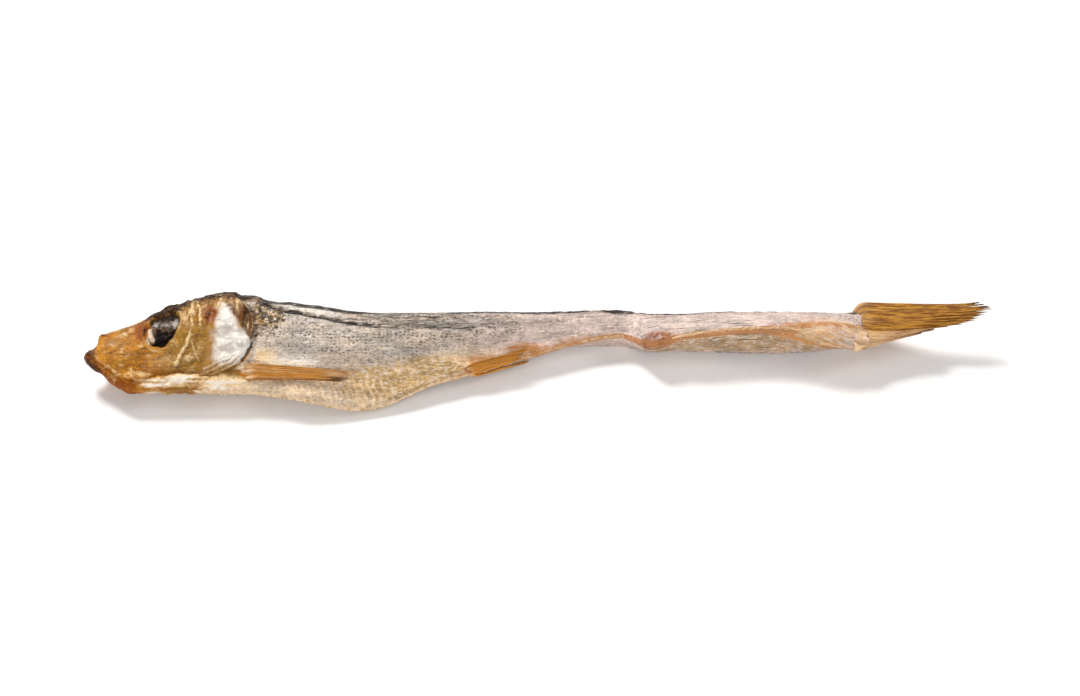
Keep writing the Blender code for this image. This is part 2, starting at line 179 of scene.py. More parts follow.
# Soft blots of colour on the skin: a strength, and then (x, h, half length, half height) of each
BLOTS = {
    "cream": (
        (0.9, (13.1, -3.9, 0.8, 0.5), (16.6, 5.2, 0.9, 0.4)),
        (0.25, (3.6, -1.6, 2.6, 1.2), (5.0, -3.4, 2.6, 1.2), (4.6, 0.9, 1.8, 0.9)),
        (0.35, (10.0, -4.2, 3.2, 1.6)),
        (0.7, (24.0, -5.0, 2.6, 0.9), (22.6, -3.4, 1.6, 1.2)),
        (0.6, (97.0, -1.8, 6.0, 1.6), (92.0, -3.4, 5.0, 1.0)),
    ),
    "pearl": (
        (0.9, (8.05, -1.0, 0.35, 1.4)),
        (0.55, (26.5, -4.0, 5.5, 1.1)),
    ),
    "rust": (
        (1.0, (7.0, 0.4, 1.4, 2.8)),
        (1.9, (15.4, 1.9, 0.9, 1.6)),
        (0.7, (22.0, -5.6, 0.9, 1.0)),
        (0.45, (6.4, -6.7, 1.1, 0.9), (2.6, -0.2, 1.4, 0.7), (14.9, 3.6, 0.6, 1.2), (6.0, 1.8, 2.4, 0.8)),
        (0.8, (71.6, -3.2, 3.0, 0.8), (48.2, -4.4, 1.0, 0.7)),
    ),
    "brow": (
        (1.2, (9.9, 4.2, 2.3, 1.4), (11.0, 3.6, 1.5, 1.3), (8.1, 2.6, 0.9, 1.0)),
        (0.6, (0.2, -2.6, 1.2, 1.9), (1.3, -0.8, 0.5, 0.4), (2.2, 0.2, 0.9, 0.5)),
        (0.9, (7.45, -0.2, 0.3, 1.1)),
        (0.7, (15.5, 1.7, 0.7, 1.3), (22.4, 3.6, 1.4, 0.9), (20.9, 4.9, 1.5, 0.9), (21.3, -1.0, 0.8, 1.0)),
    ),
    "crown": (
        (0.8, (21.8, 1.6, 2.4, 3.0), (22.6, 3.4, 3.0, 1.6)),
        (0.5, (20.8, -4.6, 2.4, 1.6), (18.0, -5.4, 2.6, 1.0)),
    ),
    "ridge": (
        (0.9, (50.5, -3.3, 4.0, 0.9), (55.5, -1.9, 3.6, 0.8)),
        (0.5, (73.0, -3.2, 3.0, 0.9)),
        (0.8, (20.9, -5.6, 1.3, 1.4)),
    ),
    "gold": (
        (1.1, (38.5, -6.5, 9.0, 2.8), (44.0, -4.4, 6.0, 2.0)),
        (0.9, (23.0, 1.8, 2.6, 1.9)),
        (0.8, (51.5, -3.2, 4.0, 0.8), (55.5, -2.2, 3.4, 0.8)),
    ),
}
THROAT_CREAM = ((9.6, -7.0, 3.8, 0.9), (17.3, -6.9, 3.6, 1.1), (13.0, -6.5, 3.8, 1.0))
# painted highlights along the throat
THROAT_HIGHLIGHT = ((8.8, -7.0, 2.4, 0.7), (12.2, -6.5, 2.6, 0.6), (17.6, -7.0, 3.4, 0.6))
THROAT_RUST = ((9.6, -7.0, 3.6, 0.8), (14.0, -6.8, 4.0, 0.8))

# Grids of the smaller pieces: rows and columns of points
EYE_GRID = (34, 72)
GILL_COVER_GRID = (90, 70)
SCUTE_GRID = (9, 13)
SCALE_GRID = (6, 7)
# Rays of a fin, and points along each. A real breast fin has about 16 rays, drawn as 8 that show
BREAST_RAYS = (8, 34)
BELLY_RAYS = (6, 26)
BACK_RAYS = (15, 22)
VENT_RAYS = (24, 16)
TAIL_RAYS = (19, 44)
# The cross-section of a ray, as shares of its half width and half thickness
RAY_RING = (
    (-1, 0), (-0.62, 0.5), (-0.2, 1), (0.2, 1), (0.62, 0.5), (1, 0), (0.62, -0.5), (0.2, -1),
    (-0.2, -1), (-0.62, -0.5),
)
KEEL_SCUTES = (14.0, 67.0)  # from the throat to the vent

# The camera: degrees above the floor, focal length and sensor in mm, and the width it sees in metres
ELEVATION = 46.0
FOCAL_LENGTH = 180.0
SENSOR = 36.0
SEEN_WIDTH = 0.136
CAMERA_AIM = (0.0, -0.0005, 0.0045)
# Soft lights: place and size in metres, and power in watts
LIGHTS = {
    "key_light": ((-0.20, 0.30, 0.38), 0.16, 3.1),
    "side_light": ((0.42, 0.02, 0.30), 0.16, 0.6),
    "front_light": ((-0.12, -0.50, 0.36), 0.28, 2.0),
}
LIGHTS_AIM = (0.0, 0.0, 0.003)
ROOM_LIGHT = 0.3  # strength of the white surroundings
FLOOR_REACH = 1.5  # metres from the middle to the edge of the floor

SIDES = ((1, "left"), (-1, "right"))


def linear(code):
    """The linear colour of an sRGB hex code."""
    values = [int(code[i : i + 2], 16) / 255 for i in (1, 3, 5)]
    return tuple(v / 12.92 if v <= 0.04045 else ((v + 0.055) / 1.055) ** 2.4 for v in values)


def colour(name, description, code):
    return FloatVectorProperty(
        name=name, description=description, default=linear(code), size=3, min=0.0, max=1.0, subtype="COLOR"
    )


def length(name, description, millimetres):
    return FloatProperty(name=name, description=description, default=millimetres * MM, min=0.0, unit="LENGTH")


class SpratSizes(bpy.types.PropertyGroup):
    """Sizes of the fine detail."""

    head_step: length("Head step", "Distance between the cross-sections of the head's surface", 0.1)
    body_step: length("Body step", "Distance between the cross-sections of the body's surface", 0.19)
    points_round: IntProperty(
        name="Points round", description="Points round a cross-section", default=240, min=40
    )
    pit: length("Skin pit", "Length of the little dark pits in the dried skin of the flank", 0.54)
    rib: length("Rib spacing", "Distance between the ribs that show on the belly", 0.8)
    muscle: length("Muscle spacing", "Distance between the muscle segments of the flank", 1.75)
    wrinkle: length("Wrinkle depth", "Depth of the wrinkles that drying leaves along the body", 0.09)
    scute: length("Scute spacing", "Distance between the keel's pointed scales", 1.5)
    ray: length("Ray thickness", "Thickness of a fin ray at its root", 0.34)


class SpratColours(bpy.types.PropertyGroup):
    """Colours of the skin, bone, eyes and fins."""

    flank: colour("Flank", "Silver grey of the flank", "#B3A79C")
    flank_warm: colour("Warm flank", "Beige where oil has soaked into the silver", "#C4B09A")
    # a painted highlight: the sparkle of the silver layer and the glints in the eyes
    fleck: colour("Fleck", "Bright flecks of the silver layer", "#E6DED6")
    speck: colour("Speck", "Dark specks in the pits of the skin", "#3E352F")
    rear: colour("Rear flank", "Pinkish cream of the tail half", "#C9B2A9")
    belly: colour("Belly", "Cream of the belly", "#DABE9C")
    gold: colour("Gold", "Olive gold where oil has come through", "#9F7A3A")
    # also painted as shade in the grooves along the back
    back: colour("Back", "Blue-black of the back", "#262120")
    ridge: colour("Keel line", "Orange brown of the keel in the tail half", "#B57A45")
    # also painted as shade along the keel's lower edge
    rust: colour("Rust", "Red brown of dried blood and oil", "#7E3A04")
    head: colour("Head", "Amber of the dried head", "#AE731C")
    head_deep: colour("Head shade", "Deeper amber where the head's skin is thick", "#8E5414")
    cheek: colour("Cheek", "Olive gold of the cheek", "#86642A")
    crown: colour("Crown", "Brown of the nape and the skull's sides", "#62401F")
    cream: colour("Cream", "Pale bone that shows through the head", "#E0C08E")
    # also painted as shade behind the gill cover and in the gill opening
    brow: colour("Brow", "Dark brown of the skull's roof", "#24140B")
    # also painted as highlights on the throat and on the ridge of the back
    pearl: colour("Pearl", "Silver white of the gill cover", "#EBE3D9")
    pupil: colour("Pupil", "Brown black of the pupil", "#0A0403")
    iris: colour("Iris", "Tarnished silver of the iris", "#5E4A38")
    fin: colour("Fin", "Amber of the dried fins", "#D29A3A")
    fin_warm: colour("Warm fin", "Orange of the fins under the body", "#D08832")
    fin_dark: colour("Fin shade", "Dark amber between the rays", "#7E4A10")
    fin_pale: colour("Fin pale", "Pale horn of the lower tail lobe", "#DDBD98")
    floor: colour("Floor", "Plain pale floor", "#F4F2F0")


# ---------------------------------------------------------------- form of the fish


def curve_through(keys):
    """A smooth function through the keys that never overshoots them."""
    places, values = np.array(keys, float).T
    gaps = np.diff(places)
    slopes = np.diff(values) / gaps
    tangents = np.zeros_like(values)
    same_way = slopes[1:] * slopes[:-1] > 0
    tangents[1:-1][same_way] = 2 / (1 / slopes[1:][same_way] + 1 / slopes[:-1][same_way])
    tangents[0], tangents[-1] = slopes[0], slopes[-1]

    def at(place):
        place = np.clip(place, places[0], places[-1])
        i = np.clip(np.searchsorted(places, place, side="right") - 1, 0, len(gaps) - 1)
        t = (place - places[i]) / gaps[i]
        start = values[i] * (1 + 2 * t) + tangents[i] * gaps[i] * t
        end = values[i + 1] * (3 - 2 * t) - tangents[i + 1] * gaps[i] * (1 - t)
        return start * (1 - t) ** 2 + end * t**2

    return at


back_at = curve_through(BACK_OUTLINE)
keel_at = curve_through(KEEL_OUTLINE)
thickness_at = curve_through(THICKNESS)
widest_at = curve_through(WIDEST_LEVEL)
keel_share_at = curve_through(KEEL_SHARE)
backwards_at = curve_through(SPINE_BACKWARDS)
height_at = curve_through(SPINE_HEIGHT)
roll_at = curve_through(KEEL_ROLL)
gill_edge_at = curve_through([(h, x) for x, h in GILL_EDGE])
gill_front_at = curve_through(GILL_FRONT)
dark_back_at = curve_through(DARK_BACK)
tail_tip_x = curve_through(TAIL_TIPS)
tail_tip_h = curve_through(TAIL_SPREAD)


def ramp(value, start, end):
    """0 before start, 1 after end, and smooth between."""
    t = np.clip((value - start) / (end - start), 0, 1)
    return t * t * (3 - 2 * t)


def fall(value, start, end):
    """1 before start, 0 after end, and smooth between."""
    return 1 - ramp(value, start, end)


def span(value, start, full, waning, end):
    """0 before start and after end, and 1 from full to waning."""
    return ramp(value, start, full) * fall(value, waning, end)


def hump(value, centre, width):
    """1 at centre, falling to nothing within about two widths."""
    return np.exp(-(((value - centre) / width) ** 2))


def blend(start, end, share):
    """From start to end by a share, which may be an array as they may."""
    return start + (end - start) * share


def oval(x, h, centre_x, centre_h, half_length, half_height):
    """The distance from a centre, counted so that it is 1 on the edge of an oval."""
    return np.hypot((x - centre_x) / half_length, (h - centre_h) / half_height)


def stroke_distance(line, x, h):
    """The distance from each point to a line, and how far along it the nearest place is, 0 to 1."""
    line = np.array(line, float)
    best = np.full(np.shape(x), np.inf)
    along = np.zeros(np.shape(x))
    for i, (a, b) in enumerate(zip(line[:-1], line[1:])):
        way = b - a
        t = np.clip(((x - a[0]) * way[0] + (h - a[1]) * way[1]) / (way @ way), 0, 1)
        distance = np.hypot(x - a[0] - t * way[0], h - a[1] - t * way[1])
        nearer = distance < best
        best = np.where(nearer, distance, best)
        along = np.where(nearer, (i + t) / (len(line) - 1), along)
    return best, along


def noise(place, size, seed=0):
    """Smooth random values from -1 to 1, in lumps of about size millimetres."""
    place = place / np.broadcast_to(size, 3) + 91.7
    cell = np.floor(place).astype(np.int64)
    t = place - cell
    t = t * t * (3 - 2 * t)
    total = 0.0
    for corner in np.ndindex(2, 2, 2):
        # a hash of whole numbers gives each corner of a cell its own random value
        at = cell + corner
        mixed = at[..., 0] * 374761393 + at[..., 1] * 668265263 + at[..., 2] * 1442695041 + seed * 974634777
        mixed = (mixed ^ (mixed >> 13)) * 1274126177
        value = ((mixed ^ (mixed >> 16)) & 65535) / 32767.5 - 1
        share = np.prod(np.where(np.array(corner) == 1, t, 1 - t), axis=-1)
        total = total + value * share
    return total


def layered_noise(place, size, seed=0, layers=3):
    """Noise with finer layers over it, each half as coarse and half as strong as the last."""
    size = np.broadcast_to(size, 3)
    total = 0.0
    for layer in range(layers):
        total = total + noise(place, size / 2**layer, seed + layer) / 2**layer
    return total / 1.6


def creases(place, size, seed=0):
    """1 along thin wandering lines and 0 between them."""
    return np.clip(1 - np.abs(noise(place, size, seed)) * 2.2, 0, 1) ** 2


def half_thickness(x, level):
    """From the middle plane to the skin, where level is 0 on the back's edge and 1 on the keel's."""
    half = thickness_at(x) / 2
    widest = widest_at(x)
    keel = keel_share_at(x)
    above = np.sqrt(np.clip(1 - (1 - level / widest) ** 2, 0, 1))
    below = 1 - (1 - keel) * ramp(level, widest, 1.02)
    rounding = np.clip(keel * half / (back_at(x) - keel_at(x)), 0.03, 0.3)
    end = np.sqrt(np.clip(1 - (np.clip(level - 1 + rounding, 0, None) / rounding) ** 2, 0, 1))
    return half * np.where(level < widest, above, below) * end


def belly_wave(x, h):
    """The thin belly wall buckled sideways as it dried."""
    below = np.clip((-3.0 - h) / 6.0, 0, None)
    return 0.55 * below * np.sin((x - 22.0) * 2 * np.pi / BELLY_WAVE) * ramp(x, 20.0, 27.0)


def lay_down(x, h, w):
    """The fish's own (x, h, w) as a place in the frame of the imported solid, in millimetres."""
    roll = np.radians(roll_at(x))
    along = x + 0 * h
    backwards = backwards_at(x) + h * np.cos(roll) + w * np.sin(roll)
    height = height_at(x) - h * np.sin(roll) + w * np.cos(roll)
    return np.stack(np.broadcast_arrays(along, backwards, height), axis=-1) + CAD_SHIFT


def angle_of(x, h, side):
    """The angle at which the left (1) or right (-1) side has the height h."""
    level = np.clip((back_at(x) - h) / (back_at(x) - keel_at(x)), 0.0, 1.0)
    return side * np.arccos(1 - 2 * level)


def plain_skin(x, angle):
    """(h, w) of the body without its relief."""
    level = (1 - np.cos(angle)) / 2
    h = blend(back_at(x), keel_at(x), level)
    side = np.where(np.sin(angle) < 0, -1, 1)
    return h, side * half_thickness(x, level) + belly_wave(x, h)


def on_skin(x, angle, lift=0.0):
    """Places that are lift millimetres proud of the skin, square to it."""
    h, w = plain_skin(x, angle)
    here = lay_down(x, h, w)
    behind = lay_down(x + 0.05, *plain_skin(x + 0.05, angle)) - here
    beside = lay_down(x, *plain_skin(x, angle + 0.02)) - here
    outward = np.cross(beside, behind)
    outward /= np.linalg.norm(outward, axis=-1, keepdims=True) + 1e-12
    return here + outward * np.asarray(relief(x, angle) + lift)[..., None]


# ---------------------------------------------------------------- relief


def eye_place(x, h):
    """Distance from the eye's centre, counted so that the socket's rim is at 1, and the direction from it."""
    lean = np.radians(EYE_LEAN)
    dx, dh = x - EYE_CENTRE[0], h - EYE_CENTRE[1]
    across = (dx * np.cos(lean) - dh * np.sin(lean)) / EYE_SIZE[0]
    up = (dx * np.sin(lean) + dh * np.cos(lean)) / EYE_SIZE[1]
    return np.hypot(across, up), np.arctan2(up, across)


def wandering(x, h, place):
    """The place a little displaced, so that lines drawn through it wander as they do in dried skin."""
    along = 0.2 * noise(place, 0.9, 61) + 0.1 * noise(place, 0.35, 63)
    up = 0.2 * noise(place, 0.9, 62) + 0.1 * noise(place, 0.35, 64)
    return x + along, h + up


def behind_gill_cover(x, h):
    """The distance behind the rear edge of the gill cover, less than 0 in front of it."""
    distance, along = stroke_distance(GILL_EDGE, x, h)
    return np.where(x > gill_edge_at(h), distance, -distance), along


def head_relief(x, h, level, place):
    """Eye sockets, jaws, cheek bones, throat and the rise of the gill cover."""
    r, turn = eye_place(x, h)
    rough_r = r + 0.1 * noise(place, 1.3, 3) + 0.05 * noise(place, 0.5, 4)
    out = -SOCKET_DEPTH * fall(rough_r, 0.68, 0.98)
    out += 0.18 * hump(rough_r, 1.09, 0.14) * (0.6 + 0.4 * np.sin(turn * 2 + 1.0))
    at_x, at_h = wandering(x, h, place)
    mouth, _ = stroke_distance(MOUTH_LINE, at_x, at_h)
    out -= 0.22 * hump(mouth, 0, 0.25)
    jaw, along = stroke_distance(UPPER_JAW, at_x, at_h)
    jaw_half = 0.55 + 0.45 * along
    out += 0.16 * fall(jaw, jaw_half - 0.2, jaw_half + 0.2)
    bone, _ = stroke_distance(JAW_BONE, at_x, at_h)
    out += 0.18 * hump(bone, 0, 0.22) - 0.16 * hump(bone, 0.45, 0.2)
    ridge, along = stroke_distance(CHEEK_RIDGE, at_x, at_h)
    out += 0.24 * hump(ridge, 0, 0.18) * (0.2 + 0.8 * ramp(along, 0.1, 0.5))
    branch, _ = stroke_distance(CHEEK_BRANCH, at_x, at_h)
    out += 0.18 * hump(branch, 0, 0.18)
    throat, along = stroke_distance(THROAT_LINE, at_x, at_h)
    out -= 0.34 * hump(throat, 0, 0.24) * ramp(along, 0.0, 0.1)
    behind, along = behind_gill_cover(x, h)
    out += 0.2 * span(behind, -4.5, -0.9, -0.5, 0.1) * ramp(along, 0, 0.3)
    out -= 0.22 * hump(behind, 0.4, 0.4) * ramp(along, 0.34, 0.46) * (1 - 0.6 * ramp(along, 0.6, 0.75))
    out += 0.35 * hump(x, 14.2, 2.2) * fall(level, 0.08, 0.3)
    # a low brow over the eye, a nostril before it, and the notch behind the tip of the snout
    out += 0.3 * hump(oval(x, h, *BROW), 0, 0.9)
    out -= 0.4 * hump(oval(x, h, *NOSTRIL), 0, 1.0)
    out -= 0.35 * hump(x, 0.95, 0.42) * fall(level, 0.3, 0.6)
    out += 0.25 * hump(x, 1.9, 0.4) * fall(level, 0.1, 0.3)
    # thin curved rays under the throat
    fan = np.hypot(x - 6.5, (h + 3.4) * 1.2) + 0.2 * noise(place, 1.5, 7)
    rays = np.sin(fan * 2 * np.pi / THROAT_RAY)
    out += 0.11 * rays * ramp(-h, 6.1, 6.7) * span(x, 7.0, 9.0, 17.5, 20.0)
    return out


def head_creases(place):
    """1 along the coarse and along the fine wrinkles of the head's skin."""
    return creases(place, (2.4, 0.8, 1.6), 27), creases(place, (0.9, 0.4, 0.6), 28)


def head_wear(x, h, level, place):
    """Wrinkles and bumps of the dried head."""
    top = fall(level, 0.08, 0.26) * ramp(x, 5.5, 8.5)
    smooth = 0.5 + 0.5 * ramp(x, 8.0, 11.0)
    out = 0.2 * layered_noise(place, 1.1, 21) * top
    out += 0.075 * layered_noise(place, 1.7, 24, 3)
    coarse, fine = head_creases(place)
    out -= 0.1 * coarse * ramp(x, 2.0, 5.0) * smooth
    out -= 0.05 * fine * smooth
    # the nape has sunk, the skin behind it stands up, and the front of the lower jaw is drawn in
    out += (0.5 * hump(x, 21.2, 1.0) - 0.25 * hump(x, 18.6, 1.2)) * fall(level, 0.12, 0.36)
    out -= 0.5 * hump(x, 1.7, 1.4) * ramp(level, 0.72, 0.95)
    # upright folds behind the eye
    fold = noise(place, (0.5, 2.6, 2.0), 29)
    out += 0.2 * fold * span(x, 11.6, 12.4, 15.2, 16.2) * ramp(h, -2.4, 0.2)
    return out + 0.025 * noise(place, 0.3, 31)


def trunk_relief(x, h, level, place):
    """The shrunken flank: a long groove under the back muscle and a hollow over the belly."""
    groove, along = stroke_distance(BACK_GROOVE, x, h)
    wander = 0.2 * noise(place, (2.2, 1.0, 1.0), 37)
    out = -0.45 * hump(groove + wander, 0, 0.33) * (1 - 0.7 * ramp(along, 0.4, 0.9))
    second, along = stroke_distance(SECOND_GROOVE, x, h)
    out -= 0.2 * hump(second + wander, 0, 0.25) * fall(along, 0.9, 1.0)
    out += 0.3 * hump(h - back_at(x), -0.95, 0.6) * span(x, SHOULDER, 26.0, 40.0, 56.0)
    out -= 0.55 * hump(level, 0.6, 0.2) * span(x, SHOULDER, 32.0, 42.0, 58.0)
    crease, _ = stroke_distance(TAIL_CREASE, x, h + wander)
    out += 0.22 * hump(crease, 0, 0.3) * ramp(x, 85.0, 90.0)
    return out


def ribs(x, h, level, place):
    """1 on each rib that shows through the belly, and -1 between."""
    spacing = bpy.context.scene.sprat_sizes.rib / MM
    rib = (x + 0.3 * h + 0.5 * noise(place, (2.0, 1.2, 2.0), 53)) / spacing
    shown = ramp(level, 0.66, 0.84) * (1 - 0.6 * ramp(x, 36.0, 41.0)) * span(x, 21.5, 26.0, 44.0, 48.0)
    return np.sin(rib * 2 * np.pi) * shown * (0.6 + 0.4 * noise(place, (0.8, 1.1, 1.5), 57))


def trunk_wear(x, h, level, place):
    """Wrinkles, muscle segments, ribs and grain of the dried body."""
    sizes = bpy.context.scene.sprat_sizes
    rear = ramp(x, 44.0, 66.0)
    belly = ramp(level, 0.5, 0.72)
    out = 0.18 * noise(place, (8.0, 3.2, 3.2), 41) * ramp(x, NECK, 27.0)
    depth = sizes.wrinkle / MM
    out -= depth * creases(place, (7.0, 0.9, 1.3), 43) * (0.5 + 0.5 * rear + 0.5 * fall(level, 0.15, 0.35))
    out -= 0.7 * depth * creases(place, (2.0, 0.45, 0.7), 47) * (0.4 + 0.6 * rear)
    muscle = sizes.muscle / MM
    chevron = x + 0.75 * np.abs(h - blend(back_at(x), keel_at(x), 0.42)) + 0.25 * noise(place, 3.0, 51)
    out += 0.05 * np.abs(np.sin(chevron / muscle * np.pi)) * (1 - belly) * ramp(level, 0.08, 0.2)
    out += 0.12 * ribs(x, h, level, place)
    return out + 0.055 * layered_noise(place, (0.7, 0.4, 0.5), 59, 2)


def relief(x, angle):
    """How far the skin stands out of the plain body."""
    level = (1 - np.cos(angle)) / 2
    h, w = plain_skin(x, angle)
    place = np.stack(np.broadcast_arrays(x, h, w), axis=-1)
    head_share = fall(x, HEAD_LENGTH + 0.9, SHOULDER)
    trunk_share = ramp(x, HEAD_LENGTH, SHOULDER)
    head = head_relief(x, h, level, place) * ramp(level, 0.0, 0.06) + head_wear(x, h, level, place)
    trunk = trunk_relief(x, h, level, place) + trunk_wear(x, h, level, place)
    return (head * head_share + trunk * trunk_share) * ramp(x, -0.2, 1.0)


# ---------------------------------------------------------------- meshes


def add_piece(name, points, faces, material, places, marks, sharp_from=None):
    """A mesh object from points in millimetres, which rides on the fish and stands for its solid.

    places are the points in the fish's own frame, for the scale of the patterns, and marks are
    numbers from about 0 to 1 that say where a colour lies. Edges are sharp from an angle in degrees.
    """
    points = np.array(points, float)
    points[:, 2] = np.maximum(points[:, 2], 0.0)
    mesh = bpy.data.meshes.new(name)
    mesh.from_pydata((points * MM).tolist(), [], faces if isinstance(faces, list) else faces.tolist())
    for mark, values in marks.items():
        layer = mesh.attributes.new(mark, "FLOAT", "POINT")
        layer.data.foreach_set("value", np.ascontiguousarray(values, np.float32).ravel())
    layer = mesh.attributes.new("place", "FLOAT_VECTOR", "POINT")
    layer.data.foreach_set("vector", np.ascontiguousarray(places, np.float32).ravel())
    mesh.shade_smooth()
    if sharp_from is not None:
        mesh.set_sharp_from_angle(angle=np.radians(sharp_from))
    mesh.materials.append(material)
    piece = bpy.data.objects.new(name, mesh)
    bpy.context.scene.collection.objects.link(piece)
    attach(piece, "root")
    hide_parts("sprat")


def tube_faces(rows, columns):
    """The faces of rings of points, joined round and from ring to ring."""
    row, column = np.meshgrid(np.arange(rows - 1) * columns, np.arange(columns), indexing="ij")
    beside = (column + 1) % columns
    quads = (row + column, row + beside, row + columns + beside, row + columns + column)
    return np.stack(quads, axis=-1).reshape(-1, 4)


def closed_tube(rows, columns):
    """The faces of a tube whose two ends are closed by four-cornered faces across them."""
    i = np.arange(columns // 2 - 1)
    cap = np.stack((i, i + 1, columns - 2 - i, columns - 1 - i), axis=-1)
    return np.concatenate((tube_faces(rows, columns), cap[:, ::-1], cap + (rows - 1) * columns))


def shell_faces(rows, columns):
    """The faces of a thin closed shell: a grid of outer points, the same of inner points, and the rim."""
    row, column = np.meshgrid(np.arange(rows - 1), np.arange(columns - 1), indexing="ij")
    a = row * columns + column
    outer = np.stack((a, a + 1, a + columns + 1, a + columns), axis=-1).reshape(-1, 4)
    inner = outer[:, ::-1] + rows * columns
    rim = list(range(columns))
    rim += [i * columns + columns - 1 for i in range(1, rows)]
    rim += [(rows - 1) * columns + i for i in range(columns - 2, -1, -1)]
    rim += [i * columns for i in range(rows - 2, 0, -1)]
    after = np.roll(rim, -1)
    edge = np.stack((after, rim, np.add(rim, rows * columns), after + rows * columns), axis=-1)
    return np.concatenate((outer, inner, edge))


def plate(x, angle, side, lift, thickness, marks):
    """A thin closed plate that lies on the skin, from grids of x and angle."""
    h, w = plain_skin(x, angle)
    places = np.stack((x, h, w), axis=-1).reshape(-1, 3)
    skins = [on_skin(x, angle, lift - depth).reshape(-1, 3) for depth in (0.0, thickness)]
    faces = shell_faces(*x.shape)
    marks = {mark: np.tile(np.ravel(values), 2) for mark, values in marks.items()}
    return np.concatenate(skins), faces if side > 0 else faces[:, ::-1], np.tile(places, (2, 1)), marks


def add_shells(name, shells, material):
    """One piece of several shells, each of (points, faces, places, marks)."""
    points, faces, places, marks = zip(*shells)
    starts = np.cumsum([0] + [len(each) for each in points[:-1]])
    faces = np.concatenate([each + start for each, start in zip(faces, starts)])
    marks = {mark: np.concatenate([np.ravel(each[mark]) for each in marks]) for mark in marks[0]}
    add_piece(name, np.concatenate(points), faces, material, np.concatenate(places), marks)


# ---------------------------------------------------------------- materials


def add_node(tree, kind, inputs=(), output=0, **settings):
    """Adds a node with its settings, sets or links its inputs, and gives one of its outputs.

    The inputs go in order, or by their names or numbers. Each is a value, another node's output, or
    the name of one of the numbers or places that the mesh carries.
    """
    node = tree.nodes.new("ShaderNode" + kind)
    for setting, value in settings.items():
        setattr(node, setting, value)
    for socket, value in inputs.items() if isinstance(inputs, dict) else enumerate(inputs):
        if isinstance(value, str):
            if value not in tree.nodes:
                add_node(tree, "Attribute", name=value, attribute_name=value)
            value = tree.nodes[value].outputs["Vector" if value == "place" else "Fac"]
        if isinstance(value, bpy.types.NodeSocket):
            tree.links.new(value, node.inputs[socket])
        else:
            node.inputs[socket].default_value = value
    return node.outputs[output]


SMOOTH = {"interpolation_type": "SMOOTHSTEP"}
MIX = {"output": 2, "data_type": "RGBA"}


def shade(name, other=None, share=0.0):
    """A colour of the fish, or a blend of two of them, as a node takes it."""
    colours = bpy.context.scene.sprat_colours
    first, second = getattr(colours, name), getattr(colours, other or name)
    return (*(blend(a, b, share) for a, b in zip(first, second)), 1.0)


def start_material(name, **values):
    """A new material, its node tree and its Principled shader with the named values set."""
    material = bpy.data.materials.new(name)
    material.use_nodes = True
    tree = material.node_tree
    shader = tree.nodes["Principled BSDF"]
    for socket, value in values.items():
        shader.inputs[socket.replace("_", " ").title().replace("Ior", "IOR")].default_value = value
    return material, tree, shader


def grain(tree, size, detail=3.0, *spread):
    """Noise whose lumps have a size in millimetres, one for each direction.

    spread is the low and high value of the noise, and what they become.
    """
    vector = add_node(tree, "VectorMath", ("place", tuple(1 / s for s in size)), operation="MULTIPLY")
    inputs = {"Vector": vector, "Scale": 1.0, "Detail": detail, "Roughness": 0.6}
    lumps = add_node(tree, "TexNoise", inputs)
    return add_node(tree, "MapRange", (lumps, *spread), **SMOOTH) if spread else lumps


def cloudy(tree, first, second, size, detail, low, high, most=1.0):
    """Two colours that run into each other in clouds of a size."""
    share = grain(tree, size, detail, low, high, 0.0, most)
    return add_node(tree, "Mix", {0: share, 6: first, 7: second}, **MIX)


def lay_over(tree, under, *layers):
    """Lays colours over one another where their marks say, thick and thin in lumps and finer.

    Each layer is a mark, the size of its lumps, a strength, how ragged it is, and what shade()
    takes where the colour hasn't the mark's name.
    """
    for mark, size, strength, ragged, *named in layers:
        broken = grain(tree, size, 6.0, 0.25, 0.75, 1 - ragged, 1 + ragged)
        share = add_node(tree, "Math", (mark, broken), operation="MULTIPLY")
        share = add_node(tree, "MapRange", (share, 0.08, 0.95, 0.0, strength), **SMOOTH)
        under = add_node(tree, "Mix", {0: share, 6: under, 7: shade(*(named or [mark]))}, **MIX)
    return under


def sprinkle(tree, under, name, mark, pattern):
    """Lays a colour over another where both a mark and a pattern say."""
    share = add_node(tree, "Math", (pattern, mark), operation="MULTIPLY")
    return add_node(tree, "Mix", {0: share, 6: under, 7: shade(name)}, **MIX)


def mottled(tree, rgb, size, darkest, brightest):
    """Darkens and lightens a colour in lumps of 3 mm, and in much finer ones of a size."""
    coarse = add_node(tree, "Math", (grain(tree, (3.4, 1.5, 1.5)), 0.4), operation="MULTIPLY")
    fine = add_node(tree, "Math", (grain(tree, size, 5.0), 0.6), operation="MULTIPLY")
    lumps = add_node(tree, "Math", (coarse, fine), operation="ADD")
    tone = add_node(tree, "MapRange", (lumps, 0.33, 0.67, darkest, brightest), **SMOOTH)
    return add_node(tree, "VectorMath", {0: rgb, "Scale": tone}, operation="SCALE")


def finish_surface(tree, shader, rgb, fine, glossy, dull, *bumps):
    """Links the colour, a roughness that follows a fine grain, and bumps of (height, millimetres)."""
    tree.links.new(rgb, shader.inputs["Base Color"])
    rough = add_node(tree, "MapRange", (fine, 0.3, 0.7, glossy, dull), **SMOOTH)
    tree.links.new(rough, shader.inputs["Roughness"])
    beneath = {}
    for height, depth in bumps:
        inputs = {"Height": height, "Distance": depth * MM, "Strength": 1.0, **beneath}
        beneath = {"Normal": add_node(tree, "Bump", inputs)}
    for normal in beneath.values():
        tree.links.new(normal, shader.inputs["Normal"])


